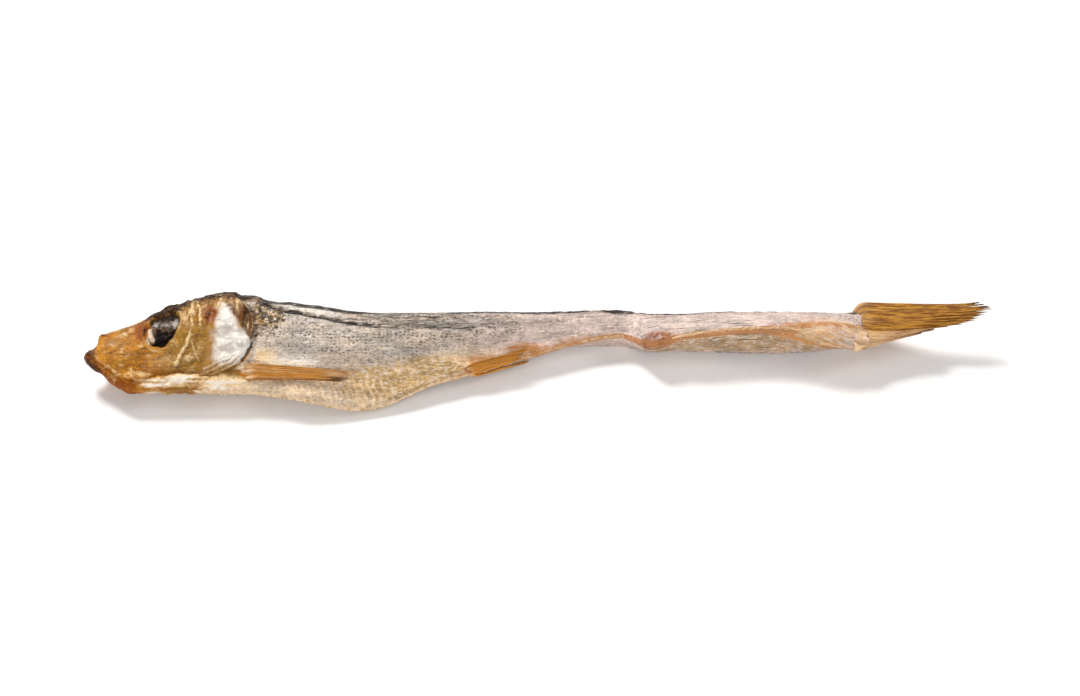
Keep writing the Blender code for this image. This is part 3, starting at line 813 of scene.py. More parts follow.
def dried_fish_skin():
    """The whole skin: satin silver on the body, oily amber over bone on the head, dark along the back.

    The silver layer gives its cool cream sheen with dark pits, and bright dots on it are painted highlights
    that stand in for its sparkle. Dried oil gives the golds and the red browns, and thin bone shows pale
    through the skin of the head. Painted shade lies in the grooves of the back, behind the gill cover and
    along the keel's edge, and painted highlights lie on the throat and on the ridge of the back.
    """
    material, tree, shader = start_material("dried_fish_skin", specular_ior_level=0.08)
    skin = cloudy(tree, shade("flank"), shade("flank_warm"), (5.0, 1.6, 1.6), 5.0, 0.38, 0.62, 0.8)
    skin = lay_over(
        tree,
        skin,
        ("rear", (3.0, 1.2, 1.2), 0.85, 0.75),
        ("belly", (0.6, 1.6, 1.6), 0.85, 0.75),
        ("gold", (0.8, 0.5, 0.5), 0.75, 0.75),
    )
    skin = mottled(tree, skin, (0.8, 0.25, 0.3), 0.7, 1.3)

    lumps = (1.6, 1.1, 1.1)
    head = cloudy(tree, shade("head"), shade("head_deep"), lumps, 6.0, 0.38, 0.66, 0.8)
    head = lay_over(tree, head, ("cheek", (0.8, 0.9, 0.9), 0.8, 0.5))
    head = mottled(tree, head, (0.45, 0.3, 0.3), 0.76, 1.22)
    frayed = add_node(tree, "Math", ("silver", grain(tree, lumps, 6.0, 0.3, 0.7, -0.4, 0.4)), operation="ADD")
    frayed = add_node(tree, "MapRange", (frayed, 0.3, 0.7), **SMOOTH)
    skin = add_node(tree, "Mix", {0: frayed, 6: head, 7: skin}, **MIX)
    skin = lay_over(tree, skin, ("crown", (0.5, 0.4, 0.4), 0.9, 0.75))

    # pits in loose rows, dark in the middle and golden at the rim, and specks of pigment between them;
    # real specks are about 0.1 mm across and are drawn two to three times as coarse, so that they show
    pit = bpy.context.scene.sprat_sizes.pit / MM
    scale = (1 / pit, 1 / (pit * 0.72), 1 / pit)
    vector = add_node(tree, "VectorMath", ("place", scale), operation="MULTIPLY")
    pits = add_node(tree, "TexVoronoi", {"Vector": vector, "Scale": 1.0, "Randomness": 0.55})
    middle = add_node(tree, "MapRange", (pits, 0.5, 0.14, 0.0, 1.0), **SMOOTH)
    rim = add_node(tree, "MapRange", (pits, 0.42, 0.7, 0.0, 1.0), **SMOOTH)
    stipple = grain(tree, (0.34, 0.2, 0.24), 3.0, 0.46, 0.36, 0.0, 1.0)
    dark = add_node(tree, "Math", (middle, stipple), operation="MAXIMUM")
    patchy = grain(tree, (2.0, 1.0, 1.0), 3.0, 0.35, 0.6, 0.3, 0.85)
    dark = add_node(tree, "Math", (dark, patchy), operation="MULTIPLY")
    skin = sprinkle(tree, skin, "speck", "specks", dark)
    skin = sprinkle(tree, skin, "gold", "rims", rim)
    # bright flecks of painted highlight, standing in for the sparkle of the silver layer
    skin = sprinkle(tree, skin, "fleck", "flecks", grain(tree, (0.55, 0.2, 0.28), 3.0, 0.52, 0.68, 0.0, 1.0))
    skin = lay_over(tree, skin, ("ribs", (0.3, 0.5, 0.5), 0.65, 0.75, "belly"))
    skin = sprinkle(tree, skin, "speck", "streaks", grain(tree, (5.0, 0.2, 0.24), 3.0, 0.46, 0.34, 0.0, 1.0))

    skin = lay_over(
        tree,
        skin,
        ("cream", (0.5, 0.35, 0.35), 0.9, 0.6),
        ("ridge", (1.1, 0.4, 0.4), 0.85, 0.75),
        ("rust", (0.5, 0.4, 0.4), 0.8, 0.6),
        ("back", (1.8, 0.22, 0.26), 0.95, 0.75),
        ("brow", (0.45, 0.35, 0.35), 0.95, 0.75),
        ("pearl", (0.9, 0.2, 0.25), 0.8, 0.6),
    )
    skin = mottled(tree, skin, (0.3, 0.2, 0.22), 0.86, 1.14)
    fine = grain(tree, (0.3, 0.22, 0.26), 4.0)
    finish_surface(tree, shader, skin, fine, 0.3, 0.6, (pits, 0.08), (fine, 0.05))
    return material


def gill_cover_bone():
    """Thin gill bone under a silver layer: pearly and smooth, stained brown towards its rear edge."""
    material, tree, shader = start_material("gill_cover_bone", specular_ior_level=0.14)
    clouds = (1.5, 1.1, 1.1)
    bone = cloudy(tree, shade("pearl"), shade("flank"), clouds, 3.0, 0.36, 0.66, 0.8)
    bone = lay_over(
        tree,
        bone,
        ("cheek", (0.8, 0.8, 0.8), 0.97, 0.3, "cheek", "head", 0.35),
        ("crown", (0.35, 0.9, 0.9), 0.95, 0.75),
        ("rust", (0.5, 0.5, 0.5), 0.9, 0.5),
        ("cream", (0.3, 0.8, 0.6), 0.75, 0.75),
        ("brow", (0.3, 0.5, 0.5), 0.9, 0.75),
    )
    bone = mottled(tree, bone, (0.35, 0.4, 0.4), 0.8, 1.12)
    fine = grain(tree, (0.26, 0.26, 0.26), 4.0)
    finish_surface(tree, shader, bone, fine, 0.26, 0.5, (fine, 0.02), (grain(tree, clouds), 0.02))
    return material


def dried_eye():
    """A shrunken eye: a black glassy lens low in tarnished silver, with a pale crescent before it."""
    material, tree, shader = start_material("dried_eye", specular_ior_level=0.05)
    clouds = (0.5, 0.35, 0.5)
    eye = cloudy(tree, shade("brow"), shade("iris"), clouds, 5.0, 0.4, 0.6)
    eye = lay_over(
        tree,
        eye,
        ("glint", (0.35, 0.35, 0.35), 0.4, 0.75, "fleck"),
        ("hollow", (0.6, 0.5, 0.5), 0.85, 0.75, "pupil"),
        ("pupil", (0.4, 0.4, 0.4), 1.0, 0.75),
        ("crescent", (0.3, 0.5, 0.5), 0.95, 0.4, "cream", "rear", 0.6),
    )
    fine = grain(tree, clouds, 5.0)
    finish_surface(tree, shader, eye, fine, 0.38, 0.6, (fine, 0.05))
    return material


def dried_fin():
    """Fin rays and skin dried to horn: amber, darker between the rays, pale in the tail's lower lobe."""
    material, tree, shader = start_material("dried_fin", specular_ior_level=0.22)
    streaks = (2.6, 0.3, 0.3)
    fin = cloudy(tree, shade("fin"), shade("fin_dark"), streaks, 4.0, 0.38, 0.62)
    fin = lay_over(
        tree,
        fin,
        ("warm", (1.2, 0.15, 0.15), 0.65, 0.75, "fin_warm"),
        ("pale", (1.5, 0.2, 0.2), 0.9, 0.75, "fin_pale"),
        ("dark", (1.5, 0.25, 0.25), 0.85, 0.75, "fin_dark"),
        ("burnt", (0.6, 0.25, 0.25), 0.8, 0.75, "brow"),
    )
    fin = mottled(tree, fin, (0.9, 0.2, 0.2), 0.75, 1.2)
    joints = grain(tree, (0.3, 0.6, 0.6), 2.0)
    finish_surface(tree, shader, fin, joints, 0.36, 0.6, (joints, 0.04), (grain(tree, streaks, 4.0), 0.08))
    return material


def keel_scute():
    """The keel's pointed scales: thin clear horn over silver, yellowed by oil."""
    gloss = {"coat_weight": 0.15, "coat_roughness": 0.3, "specular_ior_level": 0.3}
    material, tree, shader = start_material("keel_scute", **gloss)
    clouds = (0.6, 0.5, 0.5)
    horn = cloudy(tree, shade("belly"), shade("gold"), clouds, 3.0, 0.4, 0.8)
    horn = lay_over(tree, horn, ("ridge", (0.8, 0.4, 0.4), 0.85, 0.75))
    fine = grain(tree, clouds)
    finish_surface(tree, shader, horn, fine, 0.28, 0.45, (fine, 0.03))
    return material


def loose_scale():
    """A scale left behind: clear horn with a silver back, bright where it catches the light."""
    gloss = {"coat_weight": 0.2, "coat_roughness": 0.25, "specular_ior_level": 0.3}
    material, tree, shader = start_material("loose_scale", **gloss)
    clouds = (0.5, 0.5, 0.5)
    scale = cloudy(tree, shade("cheek"), shade("flank_warm"), clouds, 3.0, 0.4, 0.6)
    worn = add_node(tree, "MapRange", ("fresh", 0.35, 0.55, 0.85, 0.0), **SMOOTH)
    scale = add_node(tree, "Mix", {0: worn, 6: scale, 7: shade("brow")}, **MIX)
    scale = mottled(tree, scale, (0.3, 0.3, 0.3), 0.7, 1.2)
    finish_surface(tree, shader, scale, grain(tree, clouds), 0.2, 0.4)
    return material


def material_of(make):
    """The material that a function makes, made only once."""
    return bpy.data.materials.get(make.__name__) or make()


# ---------------------------------------------------------------- surfaces of head and body


def spots(x, h, *blots):
    """The strongest of several soft blots, each (x, h, half length, half height)."""
    best = np.zeros(np.shape(x))
    for blot in blots:
        best = np.maximum(best, fall(oval(x, h, *blot), 0.05, 1.35))
    return best


def skin_marks(x, h, level, place):
    """Where each colour of the skin lies, from 0 to 1."""
    r, turn = eye_place(x, h)
    at_x, at_h = wandering(x, h, place)
    lines = (MOUTH_LINE, JAW_BONE, CHEEK_BRANCH, THROAT_LINE, GILL_SLIT, TAIL_CREASE)
    near = [stroke_distance(line, at_x, at_h)[0] for line in lines]
    mouth, bone, branch, throat, slit, crease = near
    cheek_ridge, along_ridge = stroke_distance(CHEEK_RIDGE, at_x, at_h)
    groove, along_groove = stroke_distance(BACK_GROOVE, at_x, at_h)
    second, along_second = stroke_distance(SECOND_GROOVE, at_x, at_h)
    behind, along_gill = behind_gill_cover(x, h)
    body = ramp(x, HEAD_LENGTH, NECK)
    top = back_at(x) - h
    shown_ribs = ribs(x, h, level, place)
    under_mouth = ramp(mouth, 0.05, 0.4) * (h < np.interp(x, *np.array(MOUTH_LINE).T)) * fall(x, 6.0, 7.5)
    above_groove = at_h - np.interp(x, *np.array(BACK_GROOVE).T)
    lengthwise = 0.5 + 0.5 * noise(place, (2.6, 0.3, 0.5), 68)
    fold = x + 0.15 * h + 0.35 * noise(place, (1.2, 2.4, 1.0), 65)
    folds = 0.4 * np.sin(fold * 2 * np.pi / TEMPLE_FOLD) + 1.1 * noise(place, (0.26, 1.1, 1.0), 66)
    temple = spots(x, h, TEMPLE)
    coarse, fine = head_creases(place)
    wrinkle = np.maximum(coarse, 0.8 * fine)
    dry = ramp(noise(place, (1.1, 0.6, 0.8), 70), 0.05, 0.6) * span(x, 1.2, 2.4, 14.0, 17.0)
    far_side = ramp(-place[..., 2], -0.2, 0.5) * ramp(level, 0.4, 0.7)
    # a painted highlight on the ridge of the back behind the head; the dark band is kept off it
    bright = ramp(above_groove, 0.3, 0.7) * span(x, 22.5, 24.0, 29.0, 36.0) * ramp(level, 0.02, 0.05)
    band = 0.45 * ramp(above_groove, -0.2, 0.5) * span(x, 30.0, 36.0, 48.0, 60.0)
    right = np.minimum(dark_back_at(x), DARK_BACK_RIGHT + 0.5 * fall(x, 30.0, 38.0))
    dark_reach = np.where(place[..., 2] > 0, dark_back_at(x), right)
    waning_groove = (1 - 0.5 * ramp(along_groove, 0.45, 0.7)) * fall(along_groove, 0.8, 1.0)
    keel = fall(1 - level, 0.006, 0.042 - 0.022 * ramp(x, 72.0, 76.0))

    marks = {
        "silver": (
            ramp(x, 20.4, 23.2),
            ramp(behind, -0.2, 0.4) * ramp(along_gill, 0.25, 0.4),
            ramp(-h, 6.2, 6.8) * ramp(x, 13.0, 16.5),
        ),
        "cream": (
            1.12 * ramp(folds, -0.6, 1.0) * temple * (0.85 + 0.3 * noise(place, (0.6, 1.0, 1.0), 69)),
            0.95 * hump(cheek_ridge, 0, 0.24) * ramp(along_ridge, 0.2, 0.5),
            0.55 * hump(branch, 0, 0.2),
            0.6 * hump(bone, 0, 0.2),
            0.4 * hump(r, 1.12, 0.08) * ramp(-np.sin(turn + 0.4), 0.0, 0.8),
            0.5 * hump(r, 1.08, 0.1) * ramp(np.cos(turn - 0.5), 0.6, 0.95),
            1.3 * ramp(lengthwise, -0.1, 0.6) * spots(x, h, *THROAT_CREAM),
            0.4 * hump(mouth, 0.4, 0.2) * (1 - under_mouth) * ramp(x, 0.8, 1.6),
            0.48 * dry * fall(h, 1.5, 3.0) * (1 - 0.3 * ramp(x, 9.0, 12.0)),
        ),
        "pearl": (
            # painted highlights: streaks along the throat and a strip on the ridge of the back
            1.1 * ramp(lengthwise, 0.25, 0.65) * spots(x, h, *THROAT_HIGHLIGHT),
            0.5 * ramp(above_groove, 0.3, 0.5) * span(x, 22.5, 24.0, 29.5, 36.0) * ramp(top, 1.3, 1.6),
        ),
        "rust": (
            0.9 * hump(mouth, 0.0, 0.25),
            0.6 * hump(throat, 0, 0.25),
            0.85 * under_mouth,
            0.75 * ramp(-folds, 0.0, 0.9) * temple,
            0.7 * (1 - lengthwise) * spots(x, h, *THROAT_RUST),
            # painted shade along the keel's lower edge under the head and the belly
            0.5 * hump(level, 1.0, 0.025) * fall(x, 17.0, 24.0),
            0.3 * hump(level, 1.0, 0.02) * span(x, 26.0, 30.0, 60.0, 70.0),
        ),
        "brow": (
            fall(top + 0.6 * noise(place, 1.2, 67), 0.9, 2.2 + 0.8 * ramp(x, 11.0, 13.0))
            * span(x, 6.0, 8.5, 20.0, 23.0),
            0.7 * under_mouth * fall(x, 1.0, 3.6) * ramp(mouth, 0.1, 0.6),
            0.7 * fall(r, 0.85, 1.02) * ramp(h + 2 * (x - 8.4), 0.0, 1.0),
            # painted shade in the groove behind the gill cover's edge and in the gill opening
            0.6 * hump(behind, 0.4, 0.35) * ramp(along_gill, 0.5, 0.62),
            1.1 * hump(slit, 0, 0.24),
        ),
        "crown": (
            0.85 * ramp(x, 11.0, 14.0) * ramp(-top, -3.4, -1.6) * fall(x, 21.0, 25.0),
            0.9 * ramp(x, 7.0, 9.0) * fall(top, 1.0, 2.2) * fall(x, 21.0, 25.0),
            0.95 * fall(x, 0.9, 1.9) * ramp(-h, 0.6, 1.4),
            0.7 * fall(top, 0.2, 0.8) * span(x, 1.2, 1.8, 8.0, 10.0),
            0.6 * wrinkle * span(x, 1.2, 3.0, 18.0, 21.0) * fall(-h, 5.6, 6.4),
        ),
        "back": (
            band * (1 - bright),
            1.2 * fall(top, dark_reach - 0.55, dark_reach) * body,
            # painted shade in the two grooves along the back
            1.2 * hump(groove, 0, 0.42) * waning_groove,
            0.6 * hump(second, 0, 0.2) * fall(along_second, 0.8, 1.0),
        ),
        "ridge": (
            (1.2 + 0.3 * ramp(x, 72.0, 76.0)) * keel * span(x, 40.0, 52.0, 88.0, 91.0),
            0.5 * ramp(level, 0.8, 0.95) * span(x, 44.0, 50.0, 60.0, 70.0),
            hump(crease, 0, 0.38) * ramp(x, 84.0, 88.0),
            0.4 * ramp(x, 86.0, 93.0) * ramp(level, 0.55, 0.75),
        ),
        "gold": (0.7 * far_side * ramp(x, 66.0, 74.0),),
        "rear": (ramp(x, 38.0, 62.0) * ramp(level, 0.04, 0.14),),
        "belly": (ramp(level, 0.55, 0.8) * fall(x, 42.0, 60.0),),
        "ribs": (ramp(shown_ribs, -0.2, 0.8),),
        "rims": (0.3 * ramp(level, 0.55, 0.75) * fall(x, 44.0, 54.0) * body,),
        "specks": (
            blend(0.05, (1.0 - 0.6 * ramp(level, 0.48, 0.7)) * (1 - 0.5 * ramp(x, 46.0, 64.0)), body),
        ),
        # bright flecks of painted highlight on the silver layer, more on the painted highlight of the back's
        # ridge and on the ribs
        "flecks": (
            blend(0.04, 0.6 - 0.2 * hump(level, 0.6, 0.2) + 0.2 * bright + 0.15 * shown_ribs, body),
        ),
        "streaks": (
            ramp(x, 34.0, 44.0) * (0.25 + 0.5 * fall(top, 1.4, 2.4)),
            0.6 * ramp(x, 62.0, 72.0) + 0.15 * ramp(x, 70.0, 76.0),
        ),
        "cheek": (span(x, 8.0, 12.0, 18.5, 20.5),),
    }
    for mark, groups in BLOTS.items():
        marks[mark] += tuple(strength * spots(x, h, *blots) for strength, *blots in groups)
    return {mark: np.maximum.reduce(parts) for mark, parts in marks.items()}


def swept_surface(name, start, end, step):
    """A closed surface from cross-sections between two places along the fish."""
    xs = np.linspace(start, end, round((end - start) / step) + 1)
    count = bpy.context.scene.sprat_sizes.points_round
    even = np.linspace(0, 2 * np.pi, count, endpoint=False)
    x, angle = np.meshgrid(xs, even + 0.16 * np.sin(2 * even), indexing="ij")
    level = (1 - np.cos(angle)) / 2
    # the skin ends raggedly on the root of the tail fin
    ragged = 0.4 * np.sin(angle * 3.0 + 0.8) + 0.2 * np.sin(angle * 11.0) + 0.3 * ramp(level, 0.4, 0.8)
    x = x + ramp(x, 95.0, BODY_LENGTH) * ragged
    h, w = plain_skin(x, angle)
    places = np.stack((x, h, w), axis=-1)
    marks = skin_marks(x, h, level, places)
    middles = []
    for row, reach in ((0, -0.3), (-1, 0.3)):
        # the ends at the snout and the tail bulge a little, and the two that meet at the neck are flat
        beyond = reach if xs[row] in (0.0, BODY_LENGTH) else 0.0
        middle = (back_at(xs[row]) + keel_at(xs[row])) / 2
        middles.append(lay_down(xs[row] + beyond, middle, 0.0))
    faces = tube_faces(len(xs), count).tolist()
    faces += [((i + 1) % count, i, x.size) for i in range(count)]
    last = x.size - count
    faces += [(last + i, last + (i + 1) % count, x.size + 1) for i in range(count)]
    points = np.concatenate((on_skin(x, angle).reshape(-1, 3), middles))
    places = np.concatenate((places.reshape(-1, 3), places[[0, -1], 0]))
    marks = {mark: np.append(values, values[[0, -1], 0]) for mark, values in marks.items()}
    add_piece(name, points, faces, material_of(dried_fish_skin), places, marks, 75.0)


# ---------------------------------------------------------------- fins


def tail_fin(share, along):
    """The closed tail: a long upper lobe over a shorter lower one, both flared at the root."""
    x = blend(BODY_LENGTH - 2.5, tail_tip_x(share), along)
    h = blend(2.4 - 5.2 * share, tail_tip_h(share), along)
    flare = blend(*TAIL_FLARE, share) * ramp(along, 0.04, 0.17) * (1 - along) ** 2
    return x, h + flare, 0.5 * np.sin(share * 9.0) * along


def back_fin(share, along):
    """The back fin, folded down over the side that faces the floor."""
    x = blend(*BACK_FIN, share) + 4.5 * along
    return x, back_at(x) - 0.35 + (0.25 - 0.5 * share) * along, -0.5 - (2.4 - 0.9 * share) * along


def vent_fin(share, along):
    """The low fin behind the vent."""
    x = blend(*VENT_FIN, share) + 2.6 * along
    return x, keel_at(x) + 0.4 - (1.0 - 0.3 * share) * along, 0.4 * along


def breast_fin(share, along, side):
    """A breast fin, folded back along the flank."""
    x = blend(BREAST_FIN[0] + 0.3 * share, BREAST_FIN[1] - 1.8 * share, along)
    h = blend(-4.5 - 2.1 * share, -5.5 - 1.1 * share, along)
    _, w = plain_skin(x, angle_of(x, h, side))
    return x, h, w + side * (0.85 * ramp(along + 0.015 * np.sin(share * 17.0), -0.06, 0.14) - 0.45)


def belly_fin(share, along, side):
    """A belly fin, folded back over the keel's edge."""
    x = blend(BELLY_FIN[0] - 0.6 + 0.8 * share, BELLY_FIN[1] - 1.6 * share, along)
    above_keel = blend(0.85 - 0.35 * along, -0.2 + 0.1 * along, share)
    upper = keel_at(x) + 0.85
    _, w = plain_skin(x, angle_of(x, upper, side))
    w = blend(w + side * 0.3, side * 0.1, share**1.5)
    return x, keel_at(x) + above_keel, w + side * (0.6 * ramp(along, -0.04, 0.16) - 0.45)


def ray_shells(place, rays, thick, random, splay, fray, marks_of, swell=0.0):
    """Each ray as two flat blades that part towards their tips, with thin edges of dried skin.

    place gives (x, h, w) from the share of the fin's width and the way along a ray. splay says how
    far the rays lean at random, fray how much is worn off their tips, and swell how much thicker
    their roots are. marks_of says where the colours lie, with one random number for each blade.
    """
    rays, steps = rays
    ring, rim = np.array(RAY_RING, float).T
    shells = []
    s = np.linspace(0, 1, steps)[:, None]
    for ray in range(rays):
        lean = random.normal() * splay
        for branch in (-1, 1):
            share = (ray + 0.5 + branch * (0.2 + 0.08 * ramp(s, 0.4, 1.0))) / rays
            share = share + lean * s**2.5 / rays * 0.5
            half = (0.42 - 0.08 * s**2) / rays * (1 - 0.9 * ramp(s, 0.9, 1.0))
            worn = 0.5 + 0.5 * noise(np.array([[ray * 0.4, branch * 0.1, 3.0]]), 1.0, 91)[0]
            along = s * (1 - fray * (0.6 * random.random() ** 1.5 + worn)) + 0 * ring
            wave = 0.08 * np.sin(s * 7 + random.random() * 6) * s
            across = np.clip(share + ring * half, 0.0, 1.0)
            x, h, w = place(across, along)
            here = lay_down(x, h, w)
            beside = lay_down(*place(across + 0.01, along)) - here
            behind = lay_down(*place(across, along + 0.01)) - here
            out = np.cross(behind, beside)
            out /= np.linalg.norm(out, axis=-1, keepdims=True) + 1e-12
            taper = (1 - 0.6 * s) * (1 + swell * fall(s, 0.12, 0.4))
            height = rim * thick / 2 * taper + wave + 0.35 * lean * s**2 + 0.05 * branch * s
            # each ray has places of its own, so that its pattern is like no other's
            places = np.stack((x + ray * 7.0, (across - share) * 12.0 + 0.3 * branch, w), axis=-1)
            marks = marks_of(share + 0 * ring, s + 0 * ring, random.random())
            points = (here + out * height[..., None]).reshape(-1, 3)
            shells.append((points, closed_tube(steps, len(ring)), places.reshape(-1, 3), marks))
    return shells


# ---------------------------------------------------------------- operators


class SPRAT_OT_head(bpy.types.Operator):
    """Makes the head's surface with its eye sockets, jaws, cheek bones and throat"""

    bl_idname = "sprat.head"
    bl_label = "Head"

    def execute(self, context):
        swept_surface("head", 0.0, NECK, context.scene.sprat_sizes.head_step / MM)
        return {"FINISHED"}


class SPRAT_OT_body(bpy.types.Operator):
    """Makes the body's surface from the shoulder to the root of the tail"""

    bl_idname = "sprat.body"
    bl_label = "Body"

    def execute(self, context):
        swept_surface("body", NECK, BODY_LENGTH, context.scene.sprat_sizes.body_step / MM)
        return {"FINISHED"}


class SPRAT_OT_eyes(bpy.types.Operator):
    """Makes the shrunken eyes"""

    bl_idname = "sprat.eyes"
    bl_label = "Eyes"

    def execute(self, context):
        material = dried_eye()
        rings, points_round = EYE_GRID
        radii = np.linspace(0.02, 0.96, rings)
        turns = np.linspace(0, 2 * np.pi, points_round, endpoint=False)
        r, turn = np.meshgrid(radii, turns, indexing="ij")
        lean = np.radians(EYE_LEAN)
        across, up = r * EYE_SIZE[0] * np.cos(turn), r * EYE_SIZE[1] * np.sin(turn)
        x = EYE_CENTRE[0] + across * np.cos(lean) + up * np.sin(lean)
        h = EYE_CENTRE[1] - across * np.sin(lean) + up * np.cos(lean)
        lens = oval(x, h, *LENS_CENTRE, *LENS_SIZE)
        # the socket's upper hollow is dark with the eye's own black and with painted shade
        hollow = spots(x, h, (10.2, 2.7, 2.3, 1.9), (9.2, -0.1, 0.5, 0.5), (11.2, -0.6, 0.6, 0.8))
        glint = np.maximum(spots(x, h, (8.9, 1.0, 0.5, 0.6), (11.3, 0.9, 0.5, 1.0)), 0.5 * hump(h, 1.1, 0.7))
        crescent = 1.4 * hump(r, 0.76, 0.13) * ramp(-np.cos(turn), 0.15, 0.5) * ramp(-h, -1.1, 0.1)
        marks = {
            "pupil": 1.4 * fall(lens, 0.9, 1.35),
            "hollow": 1.1 * hollow,
            "glint": glint * ramp(lens, 1.2, 1.8),
            "crescent": crescent,
        }
        marks = {mark: np.append(values, values[-1]) for mark, values in marks.items()}
        bulge = 0.3 * np.clip(1 - lens**2, 0, 1) ** 0.6 + 0.16 * hump(lens, 1.35, 0.2) + 0.2 * crescent
        faces = closed_tube(rings + 1, points_round)
        for side, word in SIDES:
            _, w = plain_skin(x, angle_of(x, h, side))
            place = np.stack((x, h, np.abs(w)), axis=-1)
            wrinkled = 0.3 * layered_noise(place, 0.8, 71) * (1 - 0.7 * (lens < 1))
            rise = bulge - 0.35 - 0.2 * hollow + wrinkled - 0.15 * ramp(r, 0.85, 1.0)
            front = lay_down(x, h, w + side * rise).reshape(-1, 3)
            # the last ring once more, sunk into the head, closes the eye behind
            points = np.concatenate((front, lay_down(x, h, w - side * 1.4)[-1]))
            places = np.concatenate((place.reshape(-1, 3), place[-1]))
            turned = faces[:, ::-1] if side > 0 else faces
            add_piece(f"eye_{word}", points, turned, material, places, marks)
        return {"FINISHED"}


class SPRAT_OT_gill_covers(bpy.types.Operator):
    """Makes the thin gill covers, which stand a little off the body at their rear edge"""

    bl_idname = "sprat.gill_covers"
    bl_label = "Gill covers"

    def execute(self, context):
        rows, columns = GILL_COVER_GRID
        v, u = np.meshgrid(np.linspace(0, 1, rows), np.linspace(0, 1, columns), indexing="ij")
        h = blend(*GILL_COVER_ENDS, v)
        pinch = np.clip(1 - np.abs(2 * v - 1) ** 6, 0, 1) ** 0.5
        front = gill_front_at(h)
        ragged = 0.08 * np.sin(v * 23.0) * ramp(v, 0.05, 0.2) + 0.04 * np.sin(v * 61.0)
        x = front + (gill_edge_at(h) + ragged - front) * (0.5 + (u - 0.5) * (0.12 + 0.88 * pinch))
        place = np.stack((x, h, 0 * x), axis=-1)
        rise = 0.01 + 0.05 * ramp(u, 0.0, 0.25) + 0.13 * ramp(u, 0.35, 1.0) * pinch
        rise += 0.04 * noise(place, (2.2, 1.8, 1.0), 81) * ramp(u, 0.0, 0.2)
        growth = np.hypot(x - GROWTH_CENTRE[0], h - GROWTH_CENTRE[1])
        rise += 0.012 * np.sin(growth * 2 * np.pi / GROWTH_RING)
        rise += 0.012 * layered_noise(place, 0.6, 83, 3) * ramp(u, 0.0, 0.2)
        # the lower rim shows the edges of the thin bones beneath as slanting stripes
        inward, _ = stroke_distance(GILL_EDGE, x, h)
        low = ramp(-h, 3.0, 4.0) * fall(inward, 1.3, 1.7)
        stripes = np.sin(inward * 2 * np.pi / GILL_STRIPE + 1.6 * noise(place, (1.8, 0.8, 1.0), 87))
        rise += 0.025 * stripes * low
        # amber in front, a bare silver patch behind it, and a brown strip at the rear edge
        upright = 0.5 + 0.5 * noise(place, (0.35, 2.0, 1.0), 89)
        frayed = 0.5 * noise(place, 1.3, 85) + 0.3 * noise(place, 0.5, 86)
        rear = ramp(x - 18.05 - (2.4 - h) * 0.6 + 0.4 * frayed, -0.5, 0.8) * ramp(h, -2.4, -1.0)
        patch, down = stroke_distance(PEARL_LINE, x, h)
        bare = patch / (0.95 + 1.15 * ramp(down, 0.1, 0.7)) + 0.55 * frayed
        parts = {
            "cheek": (ramp(bare, 0.3, 2.3), ramp(h + frayed, 2.0, 4.2), fall(x - front, 0.0, 2.2)),
            "crown": (1.3 * rear, 0.6 * low * ramp(-stripes, 0.0, 1.0), 0.95 * ramp(h + frayed, 2.8, 4.2)),
            "cream": (
                0.4 * low * ramp(stripes, 0.2, 1.0),
                0.75 * rear * ramp(upright, 0.5, 0.9),
                0.7 * ramp(h, 2.0, 3.4) * upright,
            ),
            "rust": (2.0 * spots(x, h, (15.7, 1.9, 0.9, 1.6)), 0.6 * rear * (1 - upright)),
            "brow": (
                0.7 * rear * ramp(1 - upright, 0.5, 0.8),
                0.8 * spots(x, h, (20.2, 1.4, 0.7, 2.4), (18.2, 5.0, 2.8, 1.2)),
                # painted shade of the gill opening along the lower part of the rear edge
                1.2 * hump(u, 1.0, 0.05) * ramp(h, -4.5, -3.8) * fall(h, -2.1, -1.5),
            ),
        }
        marks = {mark: np.maximum.reduce(part) for mark, part in parts.items()}
        thickness = 0.1 + 0.2 * ramp(u, 0.1, 0.5) - 0.12 * ramp(u, 0.6, 1.0)
        material = gill_cover_bone()
        for side, word in SIDES:
            shell = plate(x, angle_of(x, h, side), side, rise, thickness, marks)
            add_shells(f"gill_cover_{word}", [shell], material)
        return {"FINISHED"}


class SPRAT_OT_scutes(bpy.types.Operator):
    """Makes the row of pointed scales along the keel"""

    bl_idname = "sprat.scutes"
    bl_label = "Keel scutes"

    def execute(self, context):
        random = np.random.default_rng(11)
        spacing = context.scene.sprat_sizes.scute / MM
        rows, columns = SCUTE_GRID
        s, t = np.meshgrid(np.linspace(0, 1, rows), np.linspace(-1, 1, columns), indexing="ij")
        point = ramp(s, 0.4, 1.0) * hump(t, 0, 0.35)
        lift = 0.03 + 0.12 * point + 0.05 * (1 - np.abs(t)) - 0.05 * np.abs(t)
        shells = []
        start, end = KEEL_SCUTES
        while start < end:
            x = start + spacing * 1.25 * s - 0.35 * np.abs(t) * spacing + 0.1 * random.normal()
            width = 0.2 + 0.05 * random.random()
            reach = width * (0.35 + 0.65 * np.sin(np.clip(s, 0.05, 1.0) * np.pi * 0.62))
            marks = {"ridge": 0.1 + 0.6 * ramp(x, 42.0, 52.0)}
            shells.append(plate(x, np.pi + t * reach, -1, lift, 0.12, marks))
            start += spacing * (1 + 0.08 * random.normal())
        add_shells("keel_scutes", shells, keel_scute())
        return {"FINISHED"}


